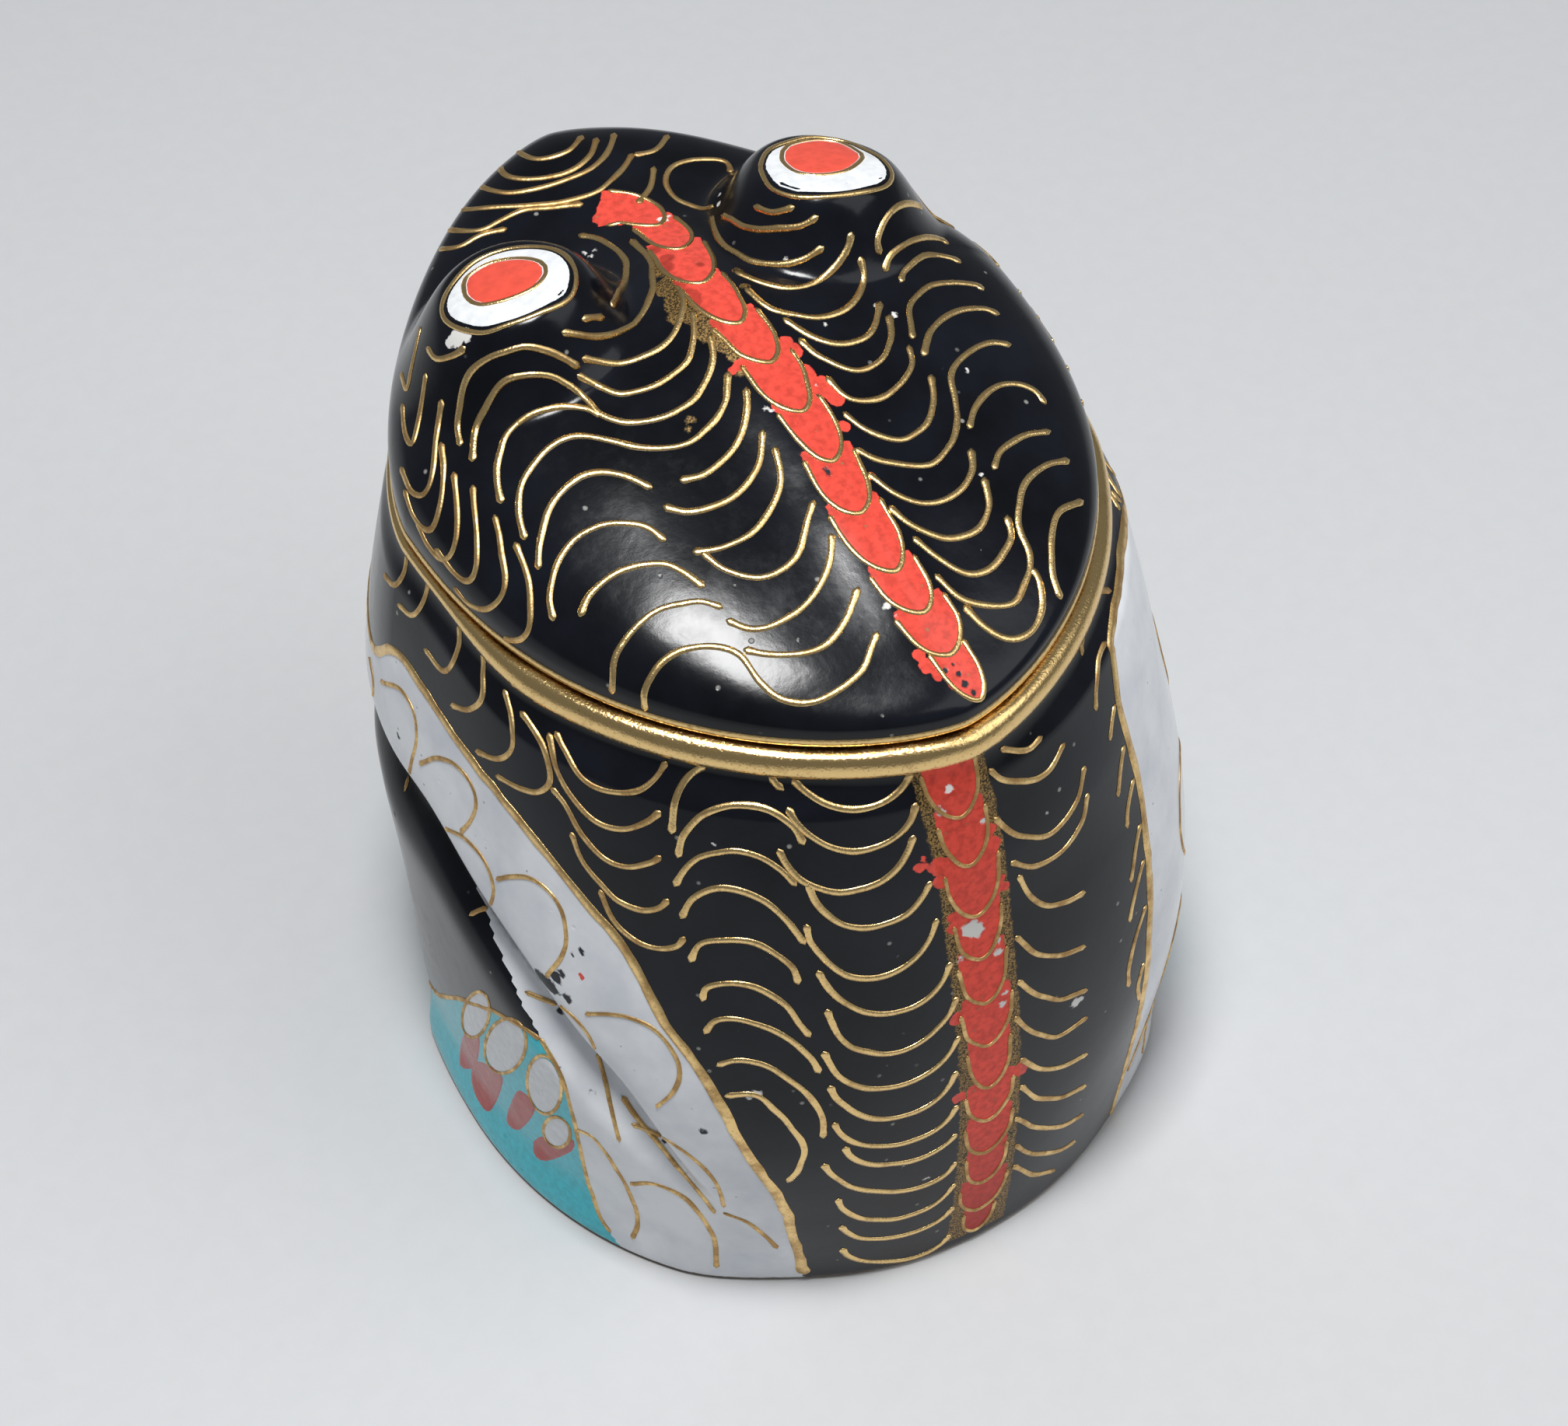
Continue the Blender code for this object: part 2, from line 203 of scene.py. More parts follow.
# Pixels of the lid's wires on the frog's left, from the eye to the rear tip
LID_LEFT_WAVES = (
    ((743, 303), (772, 308), (797, 327), (806, 346), (797, 375), (786, 394)),
    ((748, 411), (762, 408), (777, 409)),
    ((722, 426), (758, 433), (796, 428), (825, 404), (839, 370), (834, 332), (812, 308)),
    ((549, 447), (561, 462), (585, 457), (599, 447)),
    ((592, 574), (589, 536), (601, 487), (628, 460), (666, 448), (699, 449), (726, 462), (745, 474)),
    ((748, 461), (786, 467), (819, 462), (852, 446), (871, 421), (878, 390), (874, 372)),
    ((742, 481), (764, 492), (797, 506), (830, 501), (863, 484), (885, 460), (893, 432), (891, 400)),
    ((607, 594), (610, 558), (622, 528), (644, 495), (671, 484), (704, 483), (728, 492), (753, 514),
     (772, 533), (808, 542), (852, 536), (885, 520), (906, 492), (917, 465), (914, 430)),
    ((644, 648), (639, 613), (644, 574), (660, 550), (688, 531), (721, 524), (753, 526), (774, 534)),
    ((674, 695), (666, 656), (671, 621), (688, 594), (715, 569), (748, 561), (786, 566), (819, 574),
     (863, 575), (896, 563), (917, 542), (934, 514), (936, 478)),
    ((874, 619), (906, 610), (934, 588), (953, 558), (961, 525), (960, 498)),
    ((693, 733), (694, 700), (704, 662), (721, 635), (748, 613), (778, 607), (808, 613), (838, 629)),
    ((852, 652), (885, 658), (917, 652), (950, 632), (975, 596), (982, 553)),
    ((711, 799), (707, 766), (715, 728), (737, 695), (764, 678), (803, 673), (830, 678), (857, 695)),
    ((890, 709), (928, 703), (967, 684), (991, 654), (1004, 618), (997, 574)),
    ((901, 711), (934, 733), (972, 742), (1005, 733), (1029, 706), (1040, 667), (1046, 643)),
    ((745, 793), (759, 766), (786, 741), (819, 728), (852, 726), (879, 736), (906, 755)),
    ((934, 796), (967, 808), (1005, 799), (1038, 777), (1062, 738), (1069, 700), (1068, 686)),
    ((787, 892), (789, 853), (803, 826), (830, 796), (863, 779), (896, 774), (930, 780)),
    ((956, 834), (988, 842), (1027, 841), (1060, 829), (1087, 799), (1103, 755)),
    ((830, 922), (830, 886), (846, 856), (874, 837), (912, 831), (950, 842), (978, 878), (1005, 898),
     (1043, 902), (1081, 886), (1109, 859), (1128, 812)),
)
LID_LEFT_FLANK = (
    ((569, 514), (562, 560), (554, 615), (543, 637), (528, 632), (516, 600)),
    ((567, 569), (570, 624), (559, 673), (546, 681), (530, 662), (520, 630)),
    ((584, 607), (588, 667), (581, 711), (567, 719), (550, 700), (535, 670)),
    ((608, 624), (614, 689), (611, 733), (600, 747), (582, 735), (560, 705)),
    ((636, 662), (647, 722), (647, 760), (628, 783), (603, 777), (584, 755)),
    ((663, 697), (680, 749), (682, 799), (669, 823), (644, 820), (622, 804)),
    ((548, 480), (540, 530), (531, 570), (522, 560), (517, 520)),
    ((541, 420), (530, 470), (523, 500), (516, 480)),
)
LID_RIGHT_WAVES = (
    ((969, 266), (993, 272), (1022, 267)),
    ((928, 277), (959, 291), (998, 295), (1031, 290), (1053, 279)),
    ((914, 279), (926, 308), (954, 330), (993, 339), (1031, 334), (1060, 318)),
    ((945, 349), (978, 363), (1012, 370), (1046, 363), (1074, 342), (1090, 318), (1094, 298)),
    ((959, 370), (988, 394), (1026, 406), (1065, 406), (1094, 392), (1110, 361), (1106, 330)),
    ((1007, 409), (1039, 431), (1077, 443), (1110, 436), (1126, 415), (1131, 388)),
    ((1026, 436), (1056, 460), (1099, 477), (1131, 463), (1145, 436), (1142, 405)),
    ((1061, 485), (1093, 512), (1131, 512), (1158, 493), (1172, 469), (1169, 444)),
    ((1083, 531), (1120, 555), (1158, 566), (1185, 552), (1199, 523), (1197, 482)),
    ((1099, 577), (1142, 595), (1191, 598), (1218, 577), (1231, 539), (1223, 485), (1239, 458),
     (1272, 442), (1300, 444)),
    ((1115, 609), (1158, 639), (1201, 646), (1234, 631), (1250, 604), (1247, 577)),
    ((1142, 652), (1180, 679), (1223, 692), (1255, 682), (1272, 652), (1266, 614)),
    ((1174, 690), (1207, 717), (1245, 737), (1277, 728), (1299, 695), (1296, 663)),
    ((1201, 739), (1234, 768), (1272, 779), (1304, 774), (1320, 744), (1323, 712), (1309, 668),
     (1317, 625), (1347, 598), (1375, 593)),
    ((1239, 779), (1266, 806), (1299, 821), (1326, 811), (1339, 782), (1336, 749), (1326, 730)),
    ((1131, 328), (1128, 307), (1142, 277), (1164, 262), (1185, 266)),
    ((1137, 350), (1147, 328), (1174, 309), (1207, 307), (1220, 314)),
    ((1158, 363), (1164, 347), (1191, 328), (1223, 331), (1236, 338)),
    ((1174, 436), (1169, 398), (1185, 374), (1218, 363), (1255, 366), (1264, 374)),
    ((1188, 458), (1196, 425), (1223, 404), (1261, 396), (1285, 404)),
    ((1247, 552), (1255, 523), (1277, 498), (1304, 493), (1330, 503), (1345, 520)),
    ((1277, 604), (1288, 579), (1315, 560), (1350, 554)),
    ((1363, 771), (1353, 733), (1353, 690), (1363, 658), (1392, 644)),
)
SNOUT_WIRES = (
    ((638, 202), (652, 226), (686, 231), (729, 222), (758, 202), (767, 178)),
    ((660, 190), (690, 205), (730, 195), (748, 175)),
    ((618, 241), (652, 248), (690, 243), (729, 231), (765, 214), (785, 190), (790, 172)),
    ((594, 270), (633, 267), (676, 265), (719, 260), (767, 246), (796, 222), (813, 198)),
    ((568, 296), (614, 296), (642, 284), (676, 270), (720, 266), (750, 262)),
    ((556, 322), (590, 318), (618, 303), (652, 294)),
    ((815, 200), (844, 193), (858, 174)),
    ((916, 267), (897, 267), (868, 255), (856, 231), (868, 212), (906, 205), (935, 209), (941, 232)),
    ((820, 262), (836, 240), (842, 215)),
)

# Pixels of the base's wires on the frog's left
INNER_SCALES = (
    ((1007, 979), (1097, 1040), (1175, 980)),
    ((1012, 1038), (1102, 1094), (1178, 1032)),
    ((1002, 1091), (1091, 1147), (1176, 1074)),
    ((1038, 1136), (1113, 1193), (1197, 1133)),
    ((1035, 1189), (1119, 1258), (1206, 1181)),
    ((1052, 1248), (1141, 1304), (1223, 1237)),
    ((1063, 1298), (1141, 1355), (1231, 1282)),
    ((1060, 1352), (1141, 1400), (1234, 1332)),
    ((1068, 1396), (1147, 1438), (1231, 1377)),
    ((1072, 1444), (1150, 1473), (1232, 1421)),
    ((1086, 1475), (1150, 1497), (1231, 1458)),
    ((1059, 1497), (1142, 1533), (1230, 1494)),
    ((1076, 1542), (1147, 1568), (1228, 1522)),
    ((1080, 1577), (1150, 1591), (1226, 1552)),
    ((1082, 1606), (1150, 1622), (1222, 1588)),
)
MIDDLE_SCALES = (
    ((863, 1072), (867, 1030), (884, 999), (912, 984), (951, 980), (985, 996), (1008, 1016)),
    ((870, 1102), (881, 1072), (906, 1046), (946, 1036), (985, 1041), (1018, 1063), (1034, 1086)),
    ((867, 1139), (881, 1116), (906, 1100), (940, 1094), (974, 1102), (1002, 1119), (1024, 1139)),
    ((876, 1181), (890, 1156), (918, 1143), (951, 1146), (985, 1161), (1013, 1184), (1035, 1214)),
    ((888, 1237), (901, 1214), (934, 1209), (968, 1212), (996, 1226), (1018, 1245), (1028, 1265)),
    ((902, 1287), (909, 1270), (940, 1265), (974, 1271), (1007, 1290), (1030, 1318), (1042, 1333)),
    ((906, 1329), (920, 1312), (951, 1311), (985, 1321), (1018, 1338), (1041, 1360), (1053, 1380)),
    ((922, 1371), (946, 1363), (979, 1368), (1013, 1388), (1041, 1410), (1058, 1438), (1059, 1463)),
    ((932, 1410), (968, 1408), (996, 1427), (1021, 1455), (1034, 1480), (1027, 1503), (1013, 1520)),
)
OUTER_SCALES = (
    ((546, 834), (572, 863), (590, 834), (590, 800)),
    ((580, 906), (603, 912), (619, 897), (622, 857), (618, 829)),
    ((612, 966), (641, 975), (658, 961), (658, 926), (649, 886)),
    ((638, 998), (669, 1015), (692, 1019), (707, 1006), (704, 978), (687, 938), (669, 915)),
    ((715, 940), (727, 966), (750, 1001), (784, 1018), (818, 1017), (841, 1001), (856, 978)),
    ((707, 942), (715, 989), (738, 1029), (767, 1058), (801, 1067), (830, 1058), (850, 1044)),
    ((709, 1012), (727, 1035), (750, 1075), (778, 1104), (807, 1115), (836, 1110), (850, 1101)),
    ((735, 1070), (750, 1110), (773, 1138), (795, 1158), (824, 1170), (847, 1167), (859, 1156)),
    ((770, 1144), (790, 1184), (818, 1210), (847, 1220), (870, 1217), (879, 1204)),
    ((512, 776), (530, 790), (545, 770), (552, 735), (548, 700)),
    ((494, 740), (508, 752), (520, 735), (524, 700)),
)
THIGH_WIRES = (
    ((490, 877), (515, 887), (532, 915), (536, 950), (528, 985), (521, 1018)),
    ((540, 983), (565, 975), (595, 992), (611, 1022), (609, 1050), (592, 1070)),
    ((552, 1063), (585, 1070), (615, 1095), (632, 1130), (632, 1160), (604, 1178)),
    ((638, 1130), (680, 1130), (712, 1155), (728, 1195), (722, 1230), (702, 1256)),
    ((675, 1275), (720, 1294), (755, 1328), (772, 1370), (784, 1420), (797, 1468)),
    ((753, 1305), (800, 1306), (845, 1328), (872, 1368), (866, 1402), (843, 1424)),
    ((812, 1445), (850, 1462), (892, 1490), (920, 1522), (930, 1552)),
    ((475, 845), (480, 880), (478, 930)),
)
LEG_WIRES = (
    ((740, 1452), (765, 1465), (790, 1500), (810, 1535), (820, 1570), (812, 1592)),
    ((810, 1522), (845, 1524), (885, 1545), (915, 1585), (922, 1630)),
    ((930, 1560), (965, 1575), (1000, 1605)),
    ((800, 1410), (830, 1450), (880, 1510), (920, 1560)),
)
PANEL_BORDER = (
    (478, 828), (500, 835), (520, 850), (560, 910), (600, 970), (640, 1020), (680, 1070), (720, 1120),
    (760, 1170), (800, 1215), (853, 1313), (904, 1384), (955, 1473), (1006, 1550), (1021, 1593),
    (1034, 1638),
)
# The wire behind the left hind foot, from its top to the floor
FOOT_WIRE = ((694, 1335), (722, 1385), (740, 1450), (755, 1515), (770, 1560), (785, 1585))
# The border on the frog's right stands further back than the left one.
RIGHT_BORDER = (
    (1428, 815), (1438, 900), (1450, 950), (1463, 1000), (1472, 1060), (1478, 1130), (1478, 1200),
    (1470, 1280), (1448, 1370),
)
RIGHT_SCALES = (
    ((1286, 963), (1320, 965), (1340, 948)),
    ((1272, 988), (1290, 1002), (1320, 1005), (1350, 990), (1368, 955)),
    ((1278, 1052), (1300, 1070), (1335, 1077), (1360, 1065), (1385, 1030), (1394, 985)),
    ((1300, 1108), (1330, 1113), (1365, 1095), (1390, 1060), (1398, 1020)),
    ((1310, 1125), (1325, 1152), (1345, 1165), (1370, 1160), (1395, 1148)),
    ((1305, 1205), (1330, 1225), (1360, 1229), (1395, 1218)),
    ((1308, 1262), (1335, 1280), (1365, 1285), (1398, 1272)),
    ((1305, 1308), (1330, 1328), (1360, 1332), (1398, 1308)),
    ((1312, 1362), (1335, 1374), (1365, 1372), (1398, 1355)),
    ((1312, 1397), (1335, 1412), (1365, 1411), (1396, 1396)),
    ((1305, 1438), (1335, 1450), (1365, 1448), (1392, 1434)),
    ((1305, 1473), (1330, 1484), (1360, 1480), (1382, 1468)),
    ((1302, 1500), (1328, 1511), (1355, 1506)),
)
# From the front of the body to the top of the right border, in metres, where the photograph doesn't show it
HIDDEN_BORDER = (
    (-0.0250, -0.0070, 0.0395),
    (-0.0240, 0.0010, 0.0425),
    (-0.0212, 0.0090, 0.0440),
    (-0.0165, 0.0155, 0.0450),
)
# Height of the turquoise on the hind foot, by place along the body, and the limits of the feet, in metres
FOOT_TOP_PLACES = (-0.0100, -0.0040, 0.0030, 0.0098, 0.0140)
FOOT_TOP_HEIGHTS = (0.0050, 0.0062, 0.0135, 0.0195, 0.0212)
FOOT_FRONT = -0.0092 + SHIFT_Y
FRONT_FOOT_REAR = -0.0160 + SHIFT_Y
FRONT_FOOT_TOP = 0.0072
FRONT_FOOT_HALF = 0.0058

# Stripe down the middle: pixels of its centre line, and of the lowest point of each scale
LID_STRIPE = (
    (780, 268), (815, 270), (858, 300), (893, 350), (938, 400), (980, 450), (1012, 500), (1048, 550),
    (1074, 600), (1100, 650), (1130, 700), (1163, 750), (1198, 800), (1228, 850), (1262, 900),
)
LID_STRIPE_SCALES = (
    (838, 292), (880, 318), (906, 363), (946, 418), (990, 468), (1034, 530), (1076, 592), (1110, 656),
    (1155, 730), (1178, 790), (1220, 845), (1262, 898),
)
BASE_STRIPE = (
    (1220, 985), (1228, 1020), (1248, 1102), (1260, 1204), (1270, 1306), (1273, 1408), (1266, 1510),
    (1254, 1582),
)
BASE_STRIPE_SCALES = (
    (1240, 1046), (1248, 1112), (1256, 1178), (1263, 1232), (1268, 1292), (1272, 1345), (1275, 1395),
    (1275, 1440), (1273, 1480), (1265, 1520), (1258, 1554), (1252, 1582),
)
LID_STRIPE_HALF = 0.00165
BASE_STRIPE_HALF = 0.00172
BASE_STRIPE_EDGE = 0.00235

# Eyes: pixels of the outlines
LEFT_EYE_WHITE = (
    (568, 399), (578, 370), (609, 337), (652, 320), (700, 318), (729, 330), (741, 356), (731, 385),
    (690, 404), (652, 418), (618, 428), (580, 418),
)
LEFT_EYE_RED = (
    (597, 375), (599, 358), (628, 339), (666, 332), (695, 337), (702, 351), (686, 370), (652, 385),
    (618, 392), (602, 385),
)
RIGHT_EYE_WHITE = (
    (978, 212), (988, 193), (1017, 181), (1046, 176), (1085, 181), (1112, 192), (1135, 205), (1147, 224),
    (1138, 240), (1103, 248), (1060, 253), (1022, 253), (993, 243), (981, 226),
)
RIGHT_EYE_RED = (
    (1005, 202), (1012, 188), (1046, 180), (1079, 183), (1100, 193), (1109, 203), (1089, 219),
    (1055, 225), (1026, 222), (1010, 212),
)

# Toes of the hind foot: pixels of each white oval's centre, half sizes and lean, and of the red tip under it
Toe = namedtuple("Toe", "centre half lean tip")
HIND_TOES = (
    Toe((612, 1305), (17, 30), 12, ((596, 1328), (617, 1330), (612, 1372), (590, 1372))),
    Toe((650, 1345), (26, 36), 14, ((612, 1362), (648, 1385), (630, 1432), (612, 1415), (604, 1385))),
    Toe((700, 1395), (22, 38), -6, ((668, 1400), (690, 1425), (668, 1455), (650, 1445), (655, 1420))),
    Toe((716, 1456), (17, 20), -20, ((690, 1462), (735, 1462), (738, 1480), (700, 1495), (684, 1484))),
)

Spot = namedtuple("Spot", "pixel radius")
LID_RED_SPOTS = (
    Spot((800, 272), 0.0014), Spot((785, 268), 0.0009), Spot((770, 281), 0.0005),
    Spot((1018, 450), 0.0007), Spot((1012, 440), 0.0005), Spot((1036, 478), 0.0006),
    Spot((1058, 497), 0.0008), Spot((1074, 512), 0.0006), Spot((1085, 548), 0.0004),
    Spot((950, 470), 0.0004), Spot((942, 476), 0.0003), Spot((1120, 612), 0.0003),
    Spot((1182, 842), 0.0004), Spot((1192, 856), 0.0005), Spot((1206, 868), 0.0004),
    Spot((1228, 880), 0.0004),
)
LID_GOLD_SPOTS = (
    Spot((840, 322), 0.0005), Spot((850, 345), 0.0008), Spot((862, 368), 0.0010),
    Spot((878, 388), 0.0012), Spot((893, 405), 0.0008), Spot((868, 408), 0.0005),
    Spot((912, 425), 0.0009), Spot((932, 442), 0.0007), Spot((900, 340), 0.0003),
    Spot((945, 458), 0.0005), Spot((952, 480), 0.0003), Spot((887, 540), 0.0003),
    Spot((886, 552), 0.0002), Spot((958, 368), 0.0003), Spot((948, 348), 0.0003),
    Spot((858, 332), 0.0005),
)
LID_DARK_SPOTS = (
    Spot((1213, 862), 0.0002), Spot((1232, 868), 0.0002), Spot((1240, 880), 0.0002),
    Spot((1225, 855), 0.0001), Spot((1062, 603), 0.0002), Spot((1066, 610), 0.0002),
    Spot((1252, 890), 0.0002), Spot((1205, 872), 0.0001),
)
LID_PALE_SPOTS = (
    Spot((852, 282), 0.0003), Spot((765, 322), 0.00015), Spot((1150, 405), 0.0002),
    Spot((760, 330), 0.00015), Spot((1063, 418), 0.0001), Spot((1012, 408), 0.0001),
    Spot((1130, 392), 0.0002), Spot((924, 262), 0.0002), Spot((1262, 610), 0.00012),
    Spot((1262, 710), 0.0001), Spot((925, 250), 0.00015), Spot((1012, 333), 0.00015),
    Spot((1243, 477), 0.0002), Spot((1050, 495), 0.0001), Spot((983, 526), 0.0002),
    Spot((992, 530), 0.0001), Spot((1140, 780), 0.0002), Spot((1152, 790), 0.0001),
    Spot((858, 278), 0.0002), Spot((752, 325), 0.0001), Spot((588, 434), 0.0006),
    Spot((579, 440), 0.0004), Spot((598, 431), 0.0004),
)
BASE_RED_SPOTS = (
    Spot((1182, 1116), 0.0004), Spot((1187, 1104), 0.0002), Spot((1207, 1114), 0.0007),
    Spot((1211, 1134), 0.0006), Spot((1274, 1066), 0.0004), Spot((1278, 1085), 0.0005),
    Spot((1291, 1140), 0.0004), Spot((1226, 1180), 0.0005), Spot((1224, 1195), 0.0004),
    Spot((1286, 1130), 0.0004), Spot((1234, 1150), 0.0003), Spot((1232, 1412), 0.0005),
    Spot((1231, 1310), 0.0006), Spot((1312, 1375), 0.0007), Spot((530, 860), 0.0003),
    Spot((748, 1256), 0.0003),
)
BASE_WHITE_SPOTS = (
    Spot((1248, 1194), 0.00065), Spot((1257, 1197), 0.0005), Spot((1289, 1290), 0.0003),
    Spot((1238, 1232), 0.00025), Spot((1213, 1045), 0.00025), Spot((1284, 1208), 0.0002),
    Spot((1283, 1224), 0.0003), Spot((1220, 1015), 0.0003), Spot((973, 1268), 0.00015),
    Spot((1383, 1290), 0.0004), Spot((1388, 1286), 0.0003), Spot((1192, 1515), 0.0002),
    Spot((1291, 1278), 0.0002), Spot((1229, 1236), 0.0002), Spot((962, 1409), 0.0003),
    Spot((972, 1407), 0.00035), Spot((1347, 1046), 0.00012), Spot((915, 1087), 0.0002),
    Spot((1207, 1040), 0.0002), Spot((1265, 1055), 0.0002),
)
BASE_DARK_SPOTS = (
    Spot((693, 1254), 0.00055), Spot((703, 1264), 0.0007), Spot((715, 1257), 0.0005),
    Spot((710, 1272), 0.0005), Spot((722, 1252), 0.0004), Spot((748, 1224), 0.0003),
    Spot((735, 1228), 0.0002), Spot((762, 1405), 0.0002), Spot((508, 1047), 0.0003),
    Spot((512, 946), 0.0003), Spot((855, 1468), 0.0002), Spot((903, 1455), 0.0003),
    Spot((730, 1285), 0.0004), Spot((722, 1300), 0.0003),
)


# Form
def smooth_step(low, high, value):
    """0 at low, 1 at high, with level ends; low may be above high."""
    share = np.clip((value - low) / (high - low), 0, 1)
    return share * share * (3 - 2 * share)


def hump(value, centre, width):
    return np.exp(-(((value - centre) / width) ** 2))


def through(places, values, at):
    """A smooth curve through the values at the given places."""
    places = np.asarray(places, float)
    values = np.asarray(values, float)
    slopes = np.gradient(values, places)
    at = np.clip(at, places[0], places[-1])
    left = np.clip(np.searchsorted(places, at, side="right") - 1, 0, len(places) - 2)
    run = places[left + 1] - places[left]
    share = (at - places[left]) / run
    rise = share * share * (3 - 2 * share)
    out = share * (1 - share) ** 2
    back = share * share * (share - 1)
    return (
        values[left] * (1 - rise)
        + values[left + 1] * rise
        + run * (slopes[left] * out + slopes[left + 1] * back)
    )


def section_at(height):
    stations = [section.height for section in SECTIONS]
    columns = list(zip(*SECTIONS))[1:]
    return Section(height, *(through(stations, column, height) for column in columns))


def oval(turn, section):
    """Points of a section's outline. Turn is 0 at the rear, a quarter turn on the frog's left side."""
    across = np.abs(np.sin(turn))
    middle = section.middle * LENGTH
    rear_share = (1 - across**section.rear_side).clip(0) ** (1 / section.rear_tip)
    front_share = (1 - across**section.front_end).clip(0) ** (1 / section.front_end)
    rear = (section.rear * LENGTH - middle) * rear_share
    front = (section.front * LENGTH - middle) * front_share
    x = section.breadth * HALF_WIDTH * np.sin(turn)
    return x, middle + np.where(np.cos(turn) >= 0, rear, front)


def grown(x, y, distance):
    """Rings moved outwards in plan. Each row is a ring that runs clockwise seen from above."""
    along_x = np.roll(x, -1, axis=-1) - np.roll(x, 1, axis=-1)
    along_y = np.roll(y, -1, axis=-1) - np.roll(y, 1, axis=-1)
    length = np.hypot(along_x, along_y)
    return x - along_y / length * distance, y + along_x / length * distance


def turns(count=BODY_SEGMENTS):
    return np.linspace(0, 2 * math.pi, count, endpoint=False)


def rearness(turn):
    """1 round the rear of the seam, 0 along the sides and the front."""
    return smooth_step(*REAR_BAND, np.cos(turn))


def rim_step(turn):
    return RIM_STEP_SIDE + (RIM_STEP - RIM_STEP_SIDE) * rearness(turn)


def rim_drop(turn):
    return RIM_DROP_SIDE + (RIM_DROP - RIM_DROP_SIDE) * rearness(turn)


def stretch(along, start, full, still_full, end):
    return smooth_step(start, full, along) * smooth_step(end, still_full, along)


def crease_height(y):
    return SEAM_HEIGHT * through(CREASE_PLACES, CREASE_HEIGHTS, y / LENGTH)


def body_relief(x, y, z):
    """How far the body stands out of the plain oval, negative where it is cut in."""
    along = y / LENGTH
    crease = crease_height(y)
    groove = -CREASE_DEPTH * hump(z, crease, CREASE_WIDTH) * stretch(along, *THIGH_STRETCH)
    belly = -BELLY_DEPTH * smooth_step(*BELLY_STRETCH, along) * smooth_step(crease, 0, z)
    hind_foot = HIND_FOOT_RISE * stretch(along, *HIND_FOOT_STRETCH) * smooth_step(FOOT_HEIGHT, 0, z)
    leg = hump(np.abs(x), FRONT_LEG_PLACE, FRONT_LEG_WIDTH) * smooth_step(*FRONT_LEG_STRETCH, along)
    front_leg = FRONT_LEG_RISE * leg * smooth_step(FRONT_LEG_TOP, 0, z)
    front_foot = FRONT_FOOT_RISE * leg * smooth_step(FOOT_HEIGHT, 0, z)
    return groove + belly + hind_foot + front_leg + front_foot


def placed(x, y, z):
    return np.stack([x, y + SHIFT_Y, np.broadcast_to(z, x.shape)], axis=-1)


def body_rows(shares, inset):
    """Rings of the body's wall, at shares of its height under the gilt band."""
    turn = turns()[None, :]
    share = np.asarray(shares)[:, None]
    z = share * (SEAM_HEIGHT - rim_drop(turn))
    x, y = oval(turn, section_at(z / SEAM_HEIGHT))
    carried = rim_step(turn) * smooth_step(CARRY_START, 1.0, share)
    x, y = grown(x, y, body_relief(x, y, z) + carried - inset)
    # The top edge draws in under the gilt band.
    seam_x, seam_y = oval(turn, SECTIONS[-1])
    seam_x, seam_y = grown(seam_x, seam_y, rim_step(turn) - TOP_TUCK - inset)
    drawn = smooth_step(TOP_TUCK_START, 1.0, share)
    return placed(x + (seam_x - x) * drawn, y + (seam_y - y) * drawn, z)


def lid_foot():
    return SEAM_HEIGHT + SEAM_GAP + LID_RIM_HEIGHT


def lid_point(turn, share):
    """The lid's surface: share is 0 at the crown and 1 at its lower edge."""
    rim_x, rim_y = oval(turn, SECTIONS[-1])
    crown = SECTIONS[-1].middle * LENGTH
    angle = share * math.pi / 2
    to_rear = 0.5 + 0.5 * np.cos(turn)
    to_front = 1 - to_rear
    square, full = (
        side + (head - side) * to_front**END_POWER + (tail - side) * to_rear**END_POWER
        for side, head, tail in zip(SIDE_FALL, HEAD_FALL, TAIL_FALL)
    )
    reach = np.sin(angle)
    rise = (1 - reach**square).clip(0) ** (1 / full)
    overhang = HEAD_OVERHANG * to_front**OVERHANG_POWER * np.sin(2 * angle)
    reach = reach + overhang / np.hypot(rim_x, rim_y - crown)
    x = reach * rim_x
    y = crown + reach * (rim_y - crown)
    back = LID_RISE * through(BACK_PLACES, BACK_HEIGHTS, y / LENGTH)
    z = lid_foot() + SOLDER_GAP * smooth_step(1.0, 0.97, share) + back * rise
    z = z + SPINE_RISE * hump(x, 0, SPINE_WIDTH) * (1 - reach.clip(0, 1) ** SPINE_POWER)
    away = np.hypot(np.abs(x) - EYE_PLACE[0], y - EYE_PLACE[1])
    z = z + EYE_RISE * smooth_step(EYE_FOOT_RADIUS, EYE_TOP_RADIUS, away)
    return placed(x, y, z)


def lid_rows(shares, inset):
    """Rings of the lid, moved inwards along the surface normal."""
    turn, share = np.meshgrid(turns(), shares)
    here = lid_point(turn, share)
    small = 1e-3
    round_it = lid_point(turn + small, share) - here
    down_it = here - lid_point(turn, share - small)
    normal = np.cross(round_it, down_it)
    normal /= np.linalg.norm(normal, axis=-1, keepdims=True)
    # The lowest ring stays level, so that it keeps to the gilt edge under it.
    level = normal * np.where(share[..., None] >= 1, np.array((1, 1, 0)), 1)
    return here - level * inset


# Skins
Skin = namedtuple("Skin", "rows tree")


def skin_of(rows):
    count, around = rows.shape[:2]
    points = rows.reshape(-1, 3)
    faces = ring_faces(count, around)
    return Skin(rows, BVHTree.FromPolygons(points.tolist(), faces.tolist()))


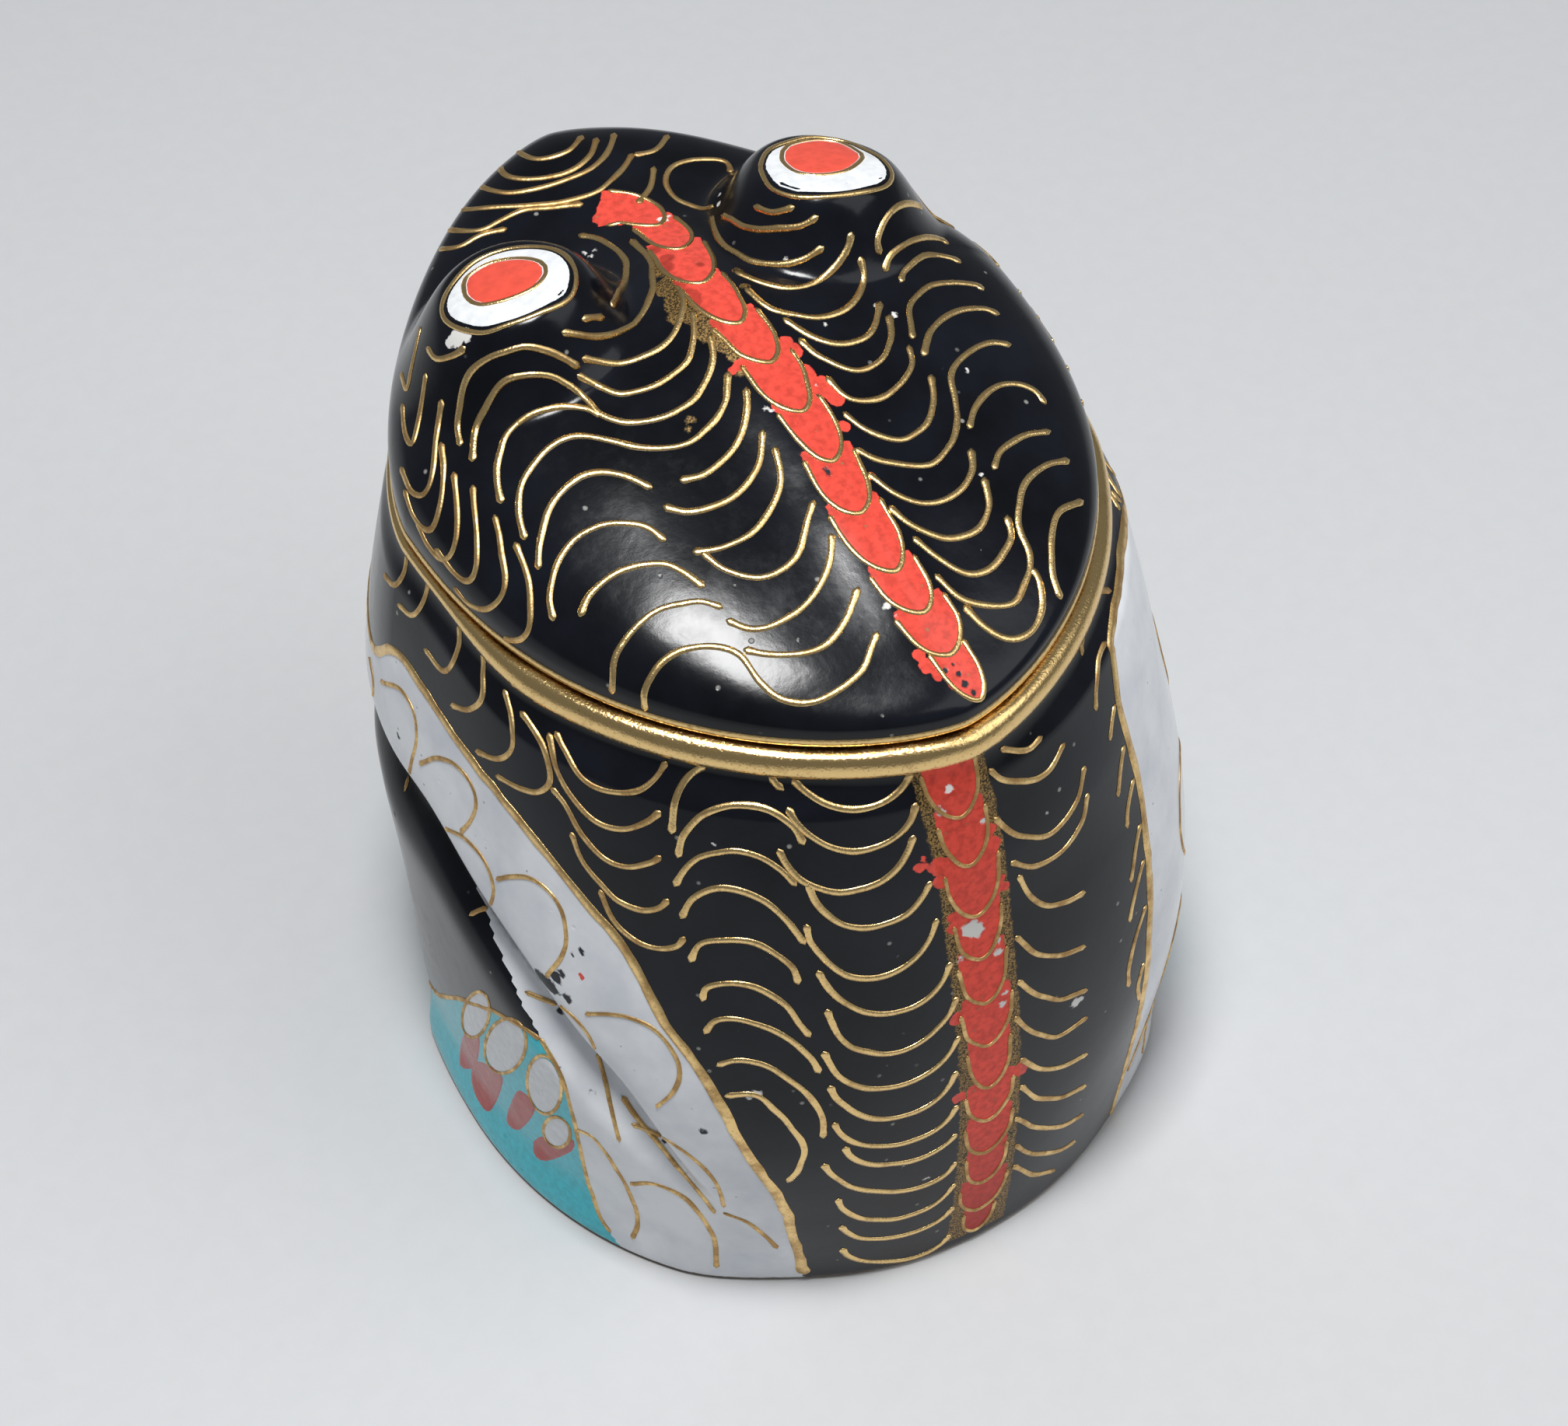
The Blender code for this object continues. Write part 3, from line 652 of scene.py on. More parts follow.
def ring_faces(count, around):
    """Quads between neighbouring rings, that face outwards where the rings run clockwise and rise."""
    lower = np.arange((count - 1) * around).reshape(count - 1, around)
    beside = np.roll(lower, -1, axis=1)
    return np.stack([lower, lower + around, beside + around, beside], axis=-1).reshape(-1, 4)


@lru_cache(maxsize=None)
def body_skin():
    shares = np.linspace(0, 1, BODY_ROWS)
    rows = body_rows(shares, SKIN_INSET)
    turned_in = smooth_step(FLOOR_EDGE, 0, rows[..., 2]) * FLOOR_EDGE_INSET
    x, y = grown(rows[..., 0], rows[..., 1], -turned_in)
    return skin_of(np.stack([x, y, rows[..., 2]], axis=-1))


@lru_cache(maxsize=None)
def lid_skin():
    shares = np.linspace(1, 0, LID_ROWS + 1)[:-1] ** LID_ROW_POWER
    return skin_of(lid_rows(shares, SKIN_INSET))


def skin_object(name, rows):
    """One closed mesh from the rings of the outside, and those of the inside that lead back."""
    count, around = rows.shape[:2]
    points = rows.reshape(-1, 3)
    hubs = np.array([[0, rows[end, :, 1].mean(), rows[end, :, 2].mean()] for end in (0, -1)])
    faces = ring_faces(count, around).tolist()
    first = np.arange(around)
    last = first + (count - 1) * around
    faces += np.stack([first, np.roll(first, -1), np.full(around, count * around)], axis=1).tolist()
    faces += np.stack([np.roll(last, -1), last, np.full(around, count * around + 1)], axis=1).tolist()
    mesh = bpy.data.meshes.new(name)
    mesh.from_pydata(np.vstack([points, hubs]).tolist(), [], faces)
    mesh.shade_smooth()
    mesh.set_sharp_from_angle(angle=math.radians(50))
    return added(name, mesh)


def added(name, mesh):
    made = bpy.data.objects.new(name, mesh)
    bpy.context.scene.collection.objects.link(made)
    return made


def points_of(piece):
    flat = np.empty(len(piece.data.vertices) * 3)
    piece.data.vertices.foreach_get("co", flat)
    return flat.reshape(-1, 3)


def store(piece, name, values):
    attribute = piece.data.attributes.new(name, "FLOAT", "POINT")
    attribute.data.foreach_set("value", np.asarray(values, np.float32))


# Curves laid on the skins
Path = namedtuple("Path", "points normals")


def view_axes():
    azimuth, elevation = VIEW_AZIMUTH, VIEW_ELEVATION
    back = np.array((
        math.sin(azimuth) * math.cos(elevation),
        -math.cos(azimuth) * math.cos(elevation),
        math.sin(elevation),
    ))
    right = np.array((math.cos(azimuth), math.sin(azimuth), 0.0))
    return right, np.cross(back, right), back


def viewpoint():
    return VIEW_TARGET + view_axes()[2] * VIEW_DISTANCE


def sight(pixel):
    """The direction in which a pixel of the photograph looks."""
    right, up, back = view_axes()
    across = (pixel[0] - PHOTO_SIZE[0] / 2) / FOCAL_PIXELS
    down = (pixel[1] - PHOTO_SIZE[1] / 2) / FOCAL_PIXELS
    ray = -back + right * across - up * down
    return ray / np.linalg.norm(ray)


def flowing(points, spacing, closed=False):
    """A smooth curve through the points, about spacing apart."""
    points = np.asarray(points, float)
    if closed:
        padded = np.vstack([points[-1:], points, points[:2]])
    else:
        padded = np.vstack([2 * points[0] - points[1], points, 2 * points[-1] - points[-2]])
    pieces = []
    for before, here, after, beyond in zip(padded, padded[1:], padded[2:], padded[3:]):
        count = max(2, int(np.linalg.norm(after - here) / spacing))
        share = np.linspace(0, 1, count, endpoint=False)[:, None]
        pieces.append(0.5 * (
            2 * here
            + (after - before) * share
            + (2 * before - 5 * here + 4 * after - beyond) * share**2
            + (3 * here - before - 3 * after + beyond) * share**3
        ))
    if not closed:
        pieces.append(points[-1:])
    return np.vstack(pieces)


def hanging(start, low, end, pinch=0.3):
    """Pixels of a scale's edge, that hangs from start to end with its lowest point at low."""
    start, low, end = (np.asarray(point, float) for point in (start, low, end))
    middle = (start + end) / 2
    sag = (low - middle) * 4 / 3
    first = start + sag + (middle - start) * pinch
    second = end + sag + (middle - end) * pinch
    share = np.linspace(0, 1, 13)[:, None]
    rest = 1 - share
    return rest**3 * start + 3 * rest**2 * share * first + 3 * rest * share**2 * second + share**3 * end


def touched(tree, pixel):
    """Where a pixel meets the skin, or the skin's nearest point to that line of sight."""
    start = Vector(viewpoint())
    ray = Vector(sight(pixel))
    place, normal, _, _ = tree.ray_cast(start, ray)
    if place is not None:
        return place, normal
    place = start + ray * VIEW_DISTANCE
    for _ in range(4):
        near, normal, _, _ = tree.find_nearest(place)
        place = start + ray * (near - start).dot(ray)
    return near, normal


def smoothed(normals):
    """Unit normals averaged with their neighbours along the path."""
    ends = np.vstack([normals[:1], normals[:1], normals, normals[-1:], normals[-1:]])
    mean = sum(ends[k:k + len(normals)] for k in range(5))
    return mean / np.linalg.norm(mean, axis=1, keepdims=True)


def path_of(pairs):
    places, normals = zip(*pairs)
    return Path(np.array(places), smoothed(np.array(normals)))


def seen(pixels, skin):
    """The stretches of a pixel curve that fall on the skin, each as a path."""
    start = Vector(viewpoint())
    runs = [[]]
    for pixel in pixels:
        place, normal, _, _ = skin.tree.ray_cast(start, Vector(sight(pixel)))
        broken = runs[-1] and place is not None and (place - runs[-1][-1][0]).length > 1.2 * MM
        if place is None or broken:
            runs.append([])
        if place is not None:
            runs[-1].append((place, normal))
    return [path_of(run) for run in runs if len(run) > 4]


def laid(points, skin):
    """A path through free points, each moved to the nearest place on the skin."""
    pairs = [skin.tree.find_nearest(Vector(point))[:2] for point in points]
    return path_of(pairs)


def mirrored(path, skin, hidden_only=False):
    """The path on the other side of the frog. With hidden_only, what the photograph sees is left out."""
    points = path.points * (-1, 1, 1)
    if hidden_only:
        eye = viewpoint()
        kept = []
        for point in points:
            _, normal, _, _ = skin.tree.find_nearest(Vector(point))
            if normal.dot(Vector(eye - point).normalized()) < 0.03:
                kept.append(point)
        points = kept
    return laid(points, skin) if len(points) > 4 else None


def even(path, step, closed=False):
    """The path at even steps."""
    points, normals = path
    if closed:
        points = np.vstack([points, points[:1]])
        normals = np.vstack([normals, normals[:1]])
    runs = np.r_[0, np.cumsum(np.linalg.norm(np.diff(points, axis=0), axis=1))]
    count = max(4, int(runs[-1] / step))
    at = np.linspace(0, runs[-1], count, endpoint=not closed)
    columns = [np.interp(at, runs, column) for column in np.hstack([points, normals]).T]
    values = np.stack(columns, axis=1)
    return Path(values[:, :3], values[:, 3:]), at, runs[-1]


def wire_strip(path, width, height, waver, rng, closed=False):
    """Vertices and quads of one gilt wire that lies on the enamel, a little uneven as bent by hand."""
    line, at, whole = even(path, WIRE_STEP, closed)
    count = len(line.points)
    ahead = np.roll(line.points, -1, axis=0) - np.roll(line.points, 1, axis=0)
    if not closed:
        ahead[0] = line.points[1] - line.points[0]
        ahead[-1] = line.points[-1] - line.points[-2]
    side = np.cross(ahead, line.normals)
    side /= np.linalg.norm(side, axis=1, keepdims=True)
    knots = max(3, int(whole / WIRE_BEND))
    places = np.linspace(0, whole, knots)
    drift = np.interp(at, places, rng.uniform(-1, 1, knots)) * waver
    swell = 1 + np.interp(at, places, rng.uniform(-1, 1, knots)) * WIRE_SWELL
    half = np.full(count, width / 2) * swell
    if closed:
        drift *= 0
    else:
        to_end = np.minimum(at, whole - at)
        tip = (to_end / (0.5 * width)).clip(0, 1)
        rounding = np.sqrt(1 - (1 - tip) ** 2).clip(0.25, 1)
        half *= rounding * (1 + WIRE_END_SWELL * hump(to_end, 0.7 * width, 0.5 * width))
    centre = line.points + side * drift[:, None]
    rows = [
        centre + side * (half * across)[:, None] + line.normals * (height * up)
        for across, up in WIRE_SECTION
    ]
    points = np.stack(rows, axis=1)
    around = len(WIRE_SECTION)
    here = np.arange((count if closed else count - 1) * around).reshape(-1, around)
    beside = np.roll(here, -1, axis=1)
    onward = (here + around) % (count * around)
    onward_beside = (beside + around) % (count * around)
    quads = np.stack([here, beside, onward_beside, onward], axis=-1).reshape(-1, 4).tolist()
    if not closed:
        quads.append(list(range(around))[::-1])
        quads.append(list(range((count - 1) * around, count * around)))
    return points.reshape(-1, 3), quads


def wire_piece(name, paths, width, finish, seed, closed=False):
    """All the wires of one field, as one piece."""
    sizes = bpy.context.scene.frog_wires
    rng = np.random.default_rng(seed)
    points, faces, start = [], [], 0
    for path in paths:
        strip, quads = wire_strip(path, width, sizes.height, 0 if closed else sizes.waver, rng, closed)
        points.append(strip)
        faces += [[corner + start for corner in quad] for quad in quads]
        start += len(strip)
    mesh = bpy.data.meshes.new(name)
    mesh.from_pydata(np.vstack(points).tolist(), [], faces)
    mesh.shade_smooth()
    piece = added(name, mesh)
    finished(piece, finish)
    return piece


def finished(piece, material):
    piece.data.materials.append(material)
    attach(piece, "root")


def pad(name, outline, finish, lift, dome=0.0):
    """A field of enamel within a closed path, domed a little, with its edge sunk in the skin."""
    rings = PAD_RINGS
    centre = outline.points.mean(axis=0)
    skin = lid_skin() if centre[2] > SEAM_HEIGHT else body_skin()
    points, around = [], len(outline.points)
    for ring in range(rings):
        share = 1 - ring / rings
        for place in outline.points:
            near, normal, _, _ = skin.tree.find_nearest(Vector(centre + (place - centre) * share))
            rise = -PAD_EDGE_DEPTH if ring == 0 else lift + dome * (1 - share**2)
            points.append(near + normal * rise)
    near, normal, _, _ = skin.tree.find_nearest(Vector(centre))
    points.append(near + normal * (lift + dome))
    faces = []
    for ring in range(rings - 1):
        for here in range(around):
            beside = (here + 1) % around
            low = ring * around
            faces.append((low + here, low + beside, low + around + beside, low + around + here))
    low = (rings - 1) * around
    faces += [(low + here, low + (here + 1) % around, rings * around) for here in range(around)]
    mesh = bpy.data.meshes.new(name)
    mesh.from_pydata(points, [], faces)
    mesh.shade_smooth()
    piece = added(name, mesh)
    if mesh.polygons[0].normal.dot(normal) < 0:
        mesh.flip_normals()
    finished(piece, finish)
    return piece


# Shader nodes
class Value:
    """A node's output that takes part in sums and products."""

    def __init__(self, finish, socket):
        self.finish = finish
        self.socket = socket

    def joined(self, operation, other, swapped=False):
        pair = (other, self) if swapped else (self, other)
        return self.finish.node("ShaderNodeMath", {"operation": operation}, dict(enumerate(pair)))

    def __add__(self, other):
        return self.joined("ADD", other)

    def __sub__(self, other):
        return self.joined("SUBTRACT", other)

    def __rsub__(self, other):
        return self.joined("SUBTRACT", other, swapped=True)

    def __mul__(self, other):
        return self.joined("MULTIPLY", other)

    def __truediv__(self, other):
        return self.joined("DIVIDE", other)

    __radd__ = __add__

    def least(self, other):
        return self.joined("MINIMUM", other)

    def most(self, other):
        return self.joined("MAXIMUM", other)

    def clamped(self):
        return self.least(1.0).most(0.0)

    def between(self, low, high):
        """0 at low and 1 at high."""
        return ((self - low) / (high - low)).clamped()


class Finish:
    """A material and the nodes that make it."""

    def __init__(self, name):
        self.material = bpy.data.materials.new(name)
        self.material.use_nodes = True
        self.tree = self.material.node_tree
        self.shader = self.tree.nodes["Principled BSDF"]
        self.place = self.node("ShaderNodeTexCoord", output="Object")

    def feed(self, socket, value):
        if isinstance(value, Value):
            self.tree.links.new(value.socket, socket)
        elif hasattr(socket.default_value, "__len__") and len(value) < len(socket.default_value):
            socket.default_value = (*value, 1.0)
        else:
            socket.default_value = value

    def node(self, kind, settings=None, inputs=None, output=0):
        made = self.tree.nodes.new(kind)
        for name, value in (settings or {}).items():
            setattr(made, name, value)
        for name, value in (inputs or {}).items():
            self.feed(made.inputs[name], value)
        return Value(self, made.outputs[output])

    def noise(self, grain, detail=3.0, roughness=0.55):
        """Cloudy noise whose patches are about grain metres across."""
        inputs = {"Vector": self.place, "Scale": 1 / grain, "Detail": detail, "Roughness": roughness}
        return self.node("ShaderNodeTexNoise", None, inputs)

    def specks(self, grain, size):
        """1 on scattered round specks: grain is their spacing in metres, size their share of it."""
        inputs = {"Vector": self.place, "Scale": 1 / grain}
        gap = self.node("ShaderNodeTexVoronoi", None, inputs)
        return gap.between(size, size * 0.5)

    def distance(self, name):
        """A distance in millimetres that is stored on the mesh."""
        return self.node("ShaderNodeAttribute", {"attribute_name": name}, output="Fac")

    def mixed(self, share, low, high):
        """A colour between two colours."""
        made = self.tree.nodes.new("ShaderNodeMix")
        made.data_type = "RGBA"
        factor, first, second = made.inputs[0], made.inputs[6], made.inputs[7]
        self.feed(factor, share)
        self.feed(first, low)
        self.feed(second, high)
        return Value(self, made.outputs[2])

    def bumped(self, height, distance, strength=1.0):
        inputs = {"Height": height, "Distance": distance, "Strength": strength}
        self.feed(self.shader.inputs["Normal"], self.node("ShaderNodeBump", None, inputs))

    def set(self, **values):
        for name, value in values.items():
            self.feed(self.shader.inputs[name.replace("_", " ").title().replace("Ior", "IOR")], value)
        return self.material


def edge(distance, softness=0.06):
    """1 inside a field, 0 outside, from its signed distance in millimetres."""
    return (0.5 - distance / softness).clamped()


def dimmed(colour, share):
    return tuple(share * part for part in colour)


@lru_cache(maxsize=None)
def enamel_skin_finish():
    """Black enamel with white, turquoise and red fields, chips and specks, and painted shade, told apart by
    stored distances.
    """
    colours = bpy.context.scene.frog_enamel
    finish = Finish("cloisonne_enamel")
    cloud = finish.noise(6 * MM, 4)
    fine = finish.noise(0.5 * MM, 3)
    grain = finish.noise(0.12 * MM, 2)
    pits = finish.specks(1.9 * MM, 0.10) * finish.noise(4 * MM, 2).between(0.48, 0.56)

    black = finish.mixed(cloud.between(0.35, 0.7), colours.black, (0.006, 0.0075, 0.012))
    black = finish.mixed(pits * 0.8, black, (0.30, 0.30, 0.28))
    dull_white = (0.60, 0.63, 0.68)
    white = finish.mixed(cloud.between(0.30, 0.62), dull_white, colours.white)
    white_pits = finish.specks(1.4 * MM, 0.09) * finish.noise(3 * MM, 2).between(0.50, 0.58)
    white = finish.mixed(white_pits * 0.75, white, (0.10, 0.12, 0.16))
    sky = finish.mixed(fine.between(0.35, 0.65), colours.turquoise, dimmed(colours.turquoise, 0.8))
    red = finish.mixed(fine.between(0.4, 0.66), colours.red, dimmed(colours.red, 0.72))
    red = finish.mixed(finish.specks(0.8 * MM, 0.16) * fine.between(0.5, 0.6), red, (0.30, 0.17, 0.08))

    ragged = (fine - 0.5) * 0.35
    low = finish.distance("height")
    # Painted shade: a dark line along the crease of the thigh.
    grime = edge(finish.distance("grime") + ragged, 0.5)
    # Painted shade: the red darkens towards the floor, where the body gets less light.
    red = finish.mixed(low.between(16, 2) * 0.62, red, (0.26, 0.020, 0.018))
    is_white = edge(finish.distance("white"))
    is_sky = edge(finish.distance("turquoise"))
    is_red = edge(finish.distance("red") + ragged)
    is_gold = edge(finish.distance("gold") + ragged * 1.6, 0.14)
    is_chip = edge(finish.distance("chip") + ragged * 2.2, 0.12)
    is_dark = edge(finish.distance("dark") + ragged * 1.6, 0.12)
    inside = finish.distance("inside")

    colour = finish.mixed(is_white, black, white)
    colour = finish.mixed(is_sky, colour, sky)
    # The crease's painted shade darkens the enamel there.
    colour = finish.mixed(grime * 0.9, colour, (0.020, 0.021, 0.026))
    dusty_gold = finish.mixed(grain.between(0.42, 0.60), (0.030, 0.022, 0.012), (0.36, 0.22, 0.075))
    colour = finish.mixed(is_gold, colour, dusty_gold)
    colour = finish.mixed(is_red, colour, red)
    colour = finish.mixed(is_chip, colour, (0.72, 0.71, 0.68))
    colour = finish.mixed(is_dark, colour, (0.015, 0.017, 0.022))
    colour = finish.mixed(inside, colour, finish.mixed(cloud, colours.inside, dimmed(colours.inside, 0.7)))
    scuffs = finish.noise(2.5 * MM, 5, 0.7).between(0.5, 0.75)
    rough = 0.16 + scuffs * 0.08 + is_gold * 0.25 + is_chip * 0.4 + is_dark * 0.3 + pits * 0.3
    height = cloud * 0.08 + fine * 0.008 + grain * 0.003 - pits * 0.05 - (is_dark + is_chip) * 0.05
    finish.bumped(height, 0.45 * MM)
    finish.set(Base_Color=colour, Roughness=rough, Metallic=is_gold * 0.55)
    return finish.set(Specular_IOR_Level=ENAMEL_SPECULAR)


def plain_enamel(name, colour, fleck):
    """One colour of glossy enamel with clouding and a few flecks."""
    finish = Finish(name)
    fine = finish.noise(0.7 * MM, 3)
    flecks = finish.specks(0.9 * MM, 0.12) * finish.noise(2 * MM).between(0.5, 0.6)
    shade = finish.mixed(fine.between(0.35, 0.7), colour, dimmed(colour, 0.84))
    shade = finish.mixed(flecks * 0.7, shade, fleck)
    finish.bumped(fine * 0.06 + finish.noise(3 * MM) * 0.2 - flecks * 0.04, 0.4 * MM)
    rough = 0.12 + finish.noise(0.5 * MM, 4).between(0.5, 0.75) * 0.15
    return finish.set(Base_Color=shade, Roughness=rough, Specular_IOR_Level=ENAMEL_SPECULAR)


@lru_cache(maxsize=None)
def gilt(name, tarnish_and_shade, rough):
    """Gilt wire or band: worn gold over brown brass."""
    looks = bpy.context.scene.frog_gilt
    finish = Finish(name)
    patches = finish.noise(1.6 * MM, 4, 0.65)
    grain = finish.noise(0.16 * MM, 3, 0.6)
    worn = patches.between(0.62 - tarnish_and_shade, 0.86 - tarnish_and_shade)
    colour = finish.mixed(worn, looks.bright, looks.worn)
    colour = finish.mixed(grain.between(0.60, 0.72) * 0.6, colour, looks.dirt)
    finish.bumped(grain * 0.5 + patches * 0.8, 0.05 * MM)
    return finish.set(
        Base_Color=colour, Roughness=rough + worn * 0.18 + grain.between(0.55, 0.7) * 0.15, Metallic=1.0
    )


# Fields of the base and the lid
def nearest(points, line):
    """For each point, its distance to the line's points in millimetres, and the index of the nearest."""
    best = np.full(len(points), np.inf)
    index = np.zeros(len(points), int)
    for number, place in enumerate(line):
        gap = ((points - place) ** 2).sum(axis=1)
        closer = gap < best
        best[closer] = gap[closer]
        index[closer] = number
    return np.sqrt(best) / MM, index


def traced(pixels, skin, spacing=5, closed=False):
    """One path on the skin under a smooth curve through the pixels."""
    return path_of([touched(skin.tree, pixel) for pixel in flowing(pixels, spacing, closed)])


def near_spots(points, spots, skin):
    """Signed distance to the edge of the nearest spot, in millimetres."""
    best = np.full(len(points), FAR / MM)
    for spot in spots:
        place = np.array(touched(skin.tree, spot.pixel)[0])
        best = np.minimum(best, (np.linalg.norm(points - place, axis=1) - spot.radius) / MM)
    return best


Stripe = namedtuple("Stripe", "line along side runs tips half")


def sides_of(path):
    """Unit vectors along a path and to its side."""
    along = np.gradient(path.points, axis=0)
    along /= np.linalg.norm(along, axis=1, keepdims=True)
    side = np.cross(along, path.normals)
    return along, side / np.linalg.norm(side, axis=1, keepdims=True)


def stripe_of(centre_pixels, tip_pixels, half, skin):
    """The stripe's centre line on the skin, and how far along it each scale's tip lies."""
    line, runs, _ = even(traced(centre_pixels, skin), 0.3 * MM)
    along, side = sides_of(line)
    places = np.array([touched(skin.tree, pixel)[0] for pixel in tip_pixels])
    tips = runs[nearest(places, line.points)[1]].tolist()
    return Stripe(line, along, side, runs, tips, half)


@lru_cache(maxsize=None)
def lid_stripe():
    return stripe_of(LID_STRIPE, LID_STRIPE_SCALES, LID_STRIPE_HALF, lid_skin())


@lru_cache(maxsize=None)
def base_stripe():
    return stripe_of(BASE_STRIPE, BASE_STRIPE_SCALES, BASE_STRIPE_HALF, body_skin())


def on_stripe(points, stripe):
    """For each point, how far along the stripe and how far to its side it lies."""
    _, index = nearest(points, stripe.line.points)
    gap = points - stripe.line.points[index]
    run = stripe.runs[index] + (gap * stripe.along[index]).sum(axis=1)
    return run, (gap * stripe.side[index]).sum(axis=1)


def scales_of(stripe):
    """Start, shoulder and tip of each scale along the stripe, and its half width."""
    before = [2 * stripe.tips[0] - stripe.tips[1]] + stripe.tips[:-1]
    for number, (last, tip) in enumerate(zip(before, stripe.tips)):
        pitch = tip - last
        narrow = 0.72 if tip == stripe.tips[-1] else 1 - 0.08 * math.sin(number * 2.3)
        yield last - 0.30 * pitch, last + 0.20 * pitch, tip, stripe.half * narrow


def stripe_distance(points, stripe):
    """Signed distance in millimetres to the edge of the stripe's row of overlapping scales."""
    run, side = on_stripe(points, stripe)
    best = np.full(len(points), FAR / MM)
    for start, shoulder, tip, half in scales_of(stripe):
        down = ((run - shoulder) / (tip - shoulder)).clip(0, 1)
        edge_of_scale = np.abs(side) - half * (1 - down**2) ** 0.6
        distance = np.maximum(edge_of_scale, np.maximum(start - run, run - tip))
        best = np.minimum(best, distance / MM)
    return best


def signed_side(points, path):
    """Distance in millimetres to a path, negative on its left hand."""
    gap, index = nearest(points, path.points)
    _, side = sides_of(path)
    across = ((points - path.points[index]) * side[index]).sum(axis=1)
    return np.where(across > 0, gap, -gap)


def joined_path(*pieces):
    """One path on the body's skin through the points of several, at even steps."""
    points = np.vstack(pieces)
    return even(laid(flowing(points[::4], BORDER_STEP), body_skin()), BORDER_STEP)[0]


@lru_cache(maxsize=None)
def panel_border():
    """The border of the white fields: up the left thigh, round the front and down the right thigh."""
    left = traced(PANEL_BORDER, body_skin()).points[::-1]
    front = round_front(left[-1, 2], math.radians(118), math.radians(242))
    right = traced(RIGHT_BORDER, body_skin()).points
    over = flowing(HIDDEN_BORDER, BORDER_STEP)
    foot = right[-1:] * (1, 1, 0)
    return joined_path(left, front, over, right, foot)


@lru_cache(maxsize=None)
def foot_wire():
    """The wire behind the left hind foot, from the floor up."""
    return traced(FOOT_WIRE[::-1], body_skin())


def under_crease(points):
    """Signed distance in millimetres into the belly and the feet, under the crease and ahead of the wire."""
    left = np.where(points[:, :1] < 0, points * (-1, 1, 1), points)
    over = (points[:, 2] - crease_height(points[:, 1] - SHIFT_Y)) / MM
    return np.maximum(over, signed_side(left, foot_wire()))


def white_distance(points):
    """Signed distance into the white fields, in millimetres."""
    return np.maximum(signed_side(points, panel_border()), -under_crease(points))


def foot_top(y):
    return through(FOOT_TOP_PLACES, FOOT_TOP_HEIGHTS, y - SHIFT_Y)


def turquoise_distance(points):
    """Signed distance into the turquoise of the hind feet and the front feet."""
    above = (points[:, 2] - foot_top(points[:, 1])) / MM
    ahead = (FOOT_FRONT - points[:, 1]) / MM
    hind = np.maximum(np.maximum(under_crease(points), above), ahead)
    across = (np.abs(points[:, 0]) - FRONT_LEG_PLACE) / FRONT_FOOT_HALF
    round_foot = (np.hypot(across, points[:, 2] / FRONT_FOOT_TOP) - 1) * FRONT_FOOT_TOP
    front_foot = np.maximum(points[:, 1] - FRONT_FOOT_REAR, round_foot) / MM
    return np.minimum(hind, front_foot)


def crease_painted_shade(points):
    """Signed distance to the painted shade along the crease, a dark line that widens towards the front."""
    y = points[:, 1] - SHIFT_Y
    width = 0.9 * smooth_step(0.45 * LENGTH, 0.10 * LENGTH, y) + 0.15
    fade = 2 * smooth_step(0.36 * LENGTH, 0.46 * LENGTH, y)
    return np.abs(points[:, 2] - crease_height(y)) / MM - width + fade


def colour_fields(piece, inside, fields):
    """Stores the signed distances of the fields, and what is inside or under the box."""
    points = points_of(piece)
    outside = inside == 0
    for name in ("white", "turquoise", "grime", "red", "gold", "chip", "dark"):
        values = np.full(len(points), FAR / MM)
        if name in fields:
            values[outside] = fields[name](points[outside])
        store(piece, name, values)
    store(piece, "height", points[:, 2] / MM)
    store(piece, "inside", inside)


# Settings
def colour_setting(name, description, default):
    return bpy.props.FloatVectorProperty(name=name, description=description, default=default, subtype="COLOR")


def length_setting(name, description, default):
    return bpy.props.FloatProperty(name=name, description=description, default=default, unit="LENGTH")


class EnamelColours(bpy.types.PropertyGroup):
    """Colours of the enamel fields."""

    black: colour_setting("Black", "Ground of the back and head", (0.0022, 0.0026, 0.0042))
    white: colour_setting("White", "Thighs, chest and eyes", (0.80, 0.82, 0.84))
    red: colour_setting("Red", "Stripe down the back", (0.78, 0.082, 0.055))
    eye_red: colour_setting("Eye red", "Pupils", (0.80, 0.095, 0.060))
    toe_red: colour_setting("Toe red", "Tips of the toes", (0.46, 0.030, 0.020))
    turquoise: colour_setting("Turquoise", "Ground of the feet", (0.045, 0.56, 0.66))
    inside: colour_setting("Inside", "Plain enamel inside the box", (0.03, 0.20, 0.26))


class WireSizes(bpy.types.PropertyGroup):
    """Sizes of the cell wires."""

    width: length_setting("Cell wire", "Width of the wires in the black fields", 0.00047)
    thin: length_setting("Thin wire", "Width of the wires in the white fields", 0.00034)
    border: length_setting("Border wire", "Width of the border of the thigh", 0.00078)
    height: length_setting("Height", "How far a wire stands out of the enamel", 0.00009)
    waver: length_setting("Waver", "How far a wire strays from its line", 0.00007)


class GiltColours(bpy.types.PropertyGroup):
    """Colours of the gilt metal."""

    bright: colour_setting("Bright", "Gilding that is whole", (0.88, 0.62, 0.27))
    worn: colour_setting("Worn", "Brass where the gilding is thin", (0.48, 0.30, 0.12))
    dirt: colour_setting("Dirt", "Grime in the metal's grain", (0.13, 0.085, 0.045))


class StageLook(bpy.types.PropertyGroup):
    """Floor and lights."""

    floor: colour_setting("Floor", "Colour of the floor", (0.62, 0.63, 0.64))
    key_power: bpy.props.FloatProperty(
        name="Key light", description="Power of the main soft light", default=1.9, unit="POWER"
    )
    fill_power: bpy.props.FloatProperty(
        name="Fill light", description="Power of the wide fill light", default=1.2, unit="POWER"
    )
    sky: bpy.props.FloatProperty(name="Surround", description="Strength of the plain surround", default=0.20)


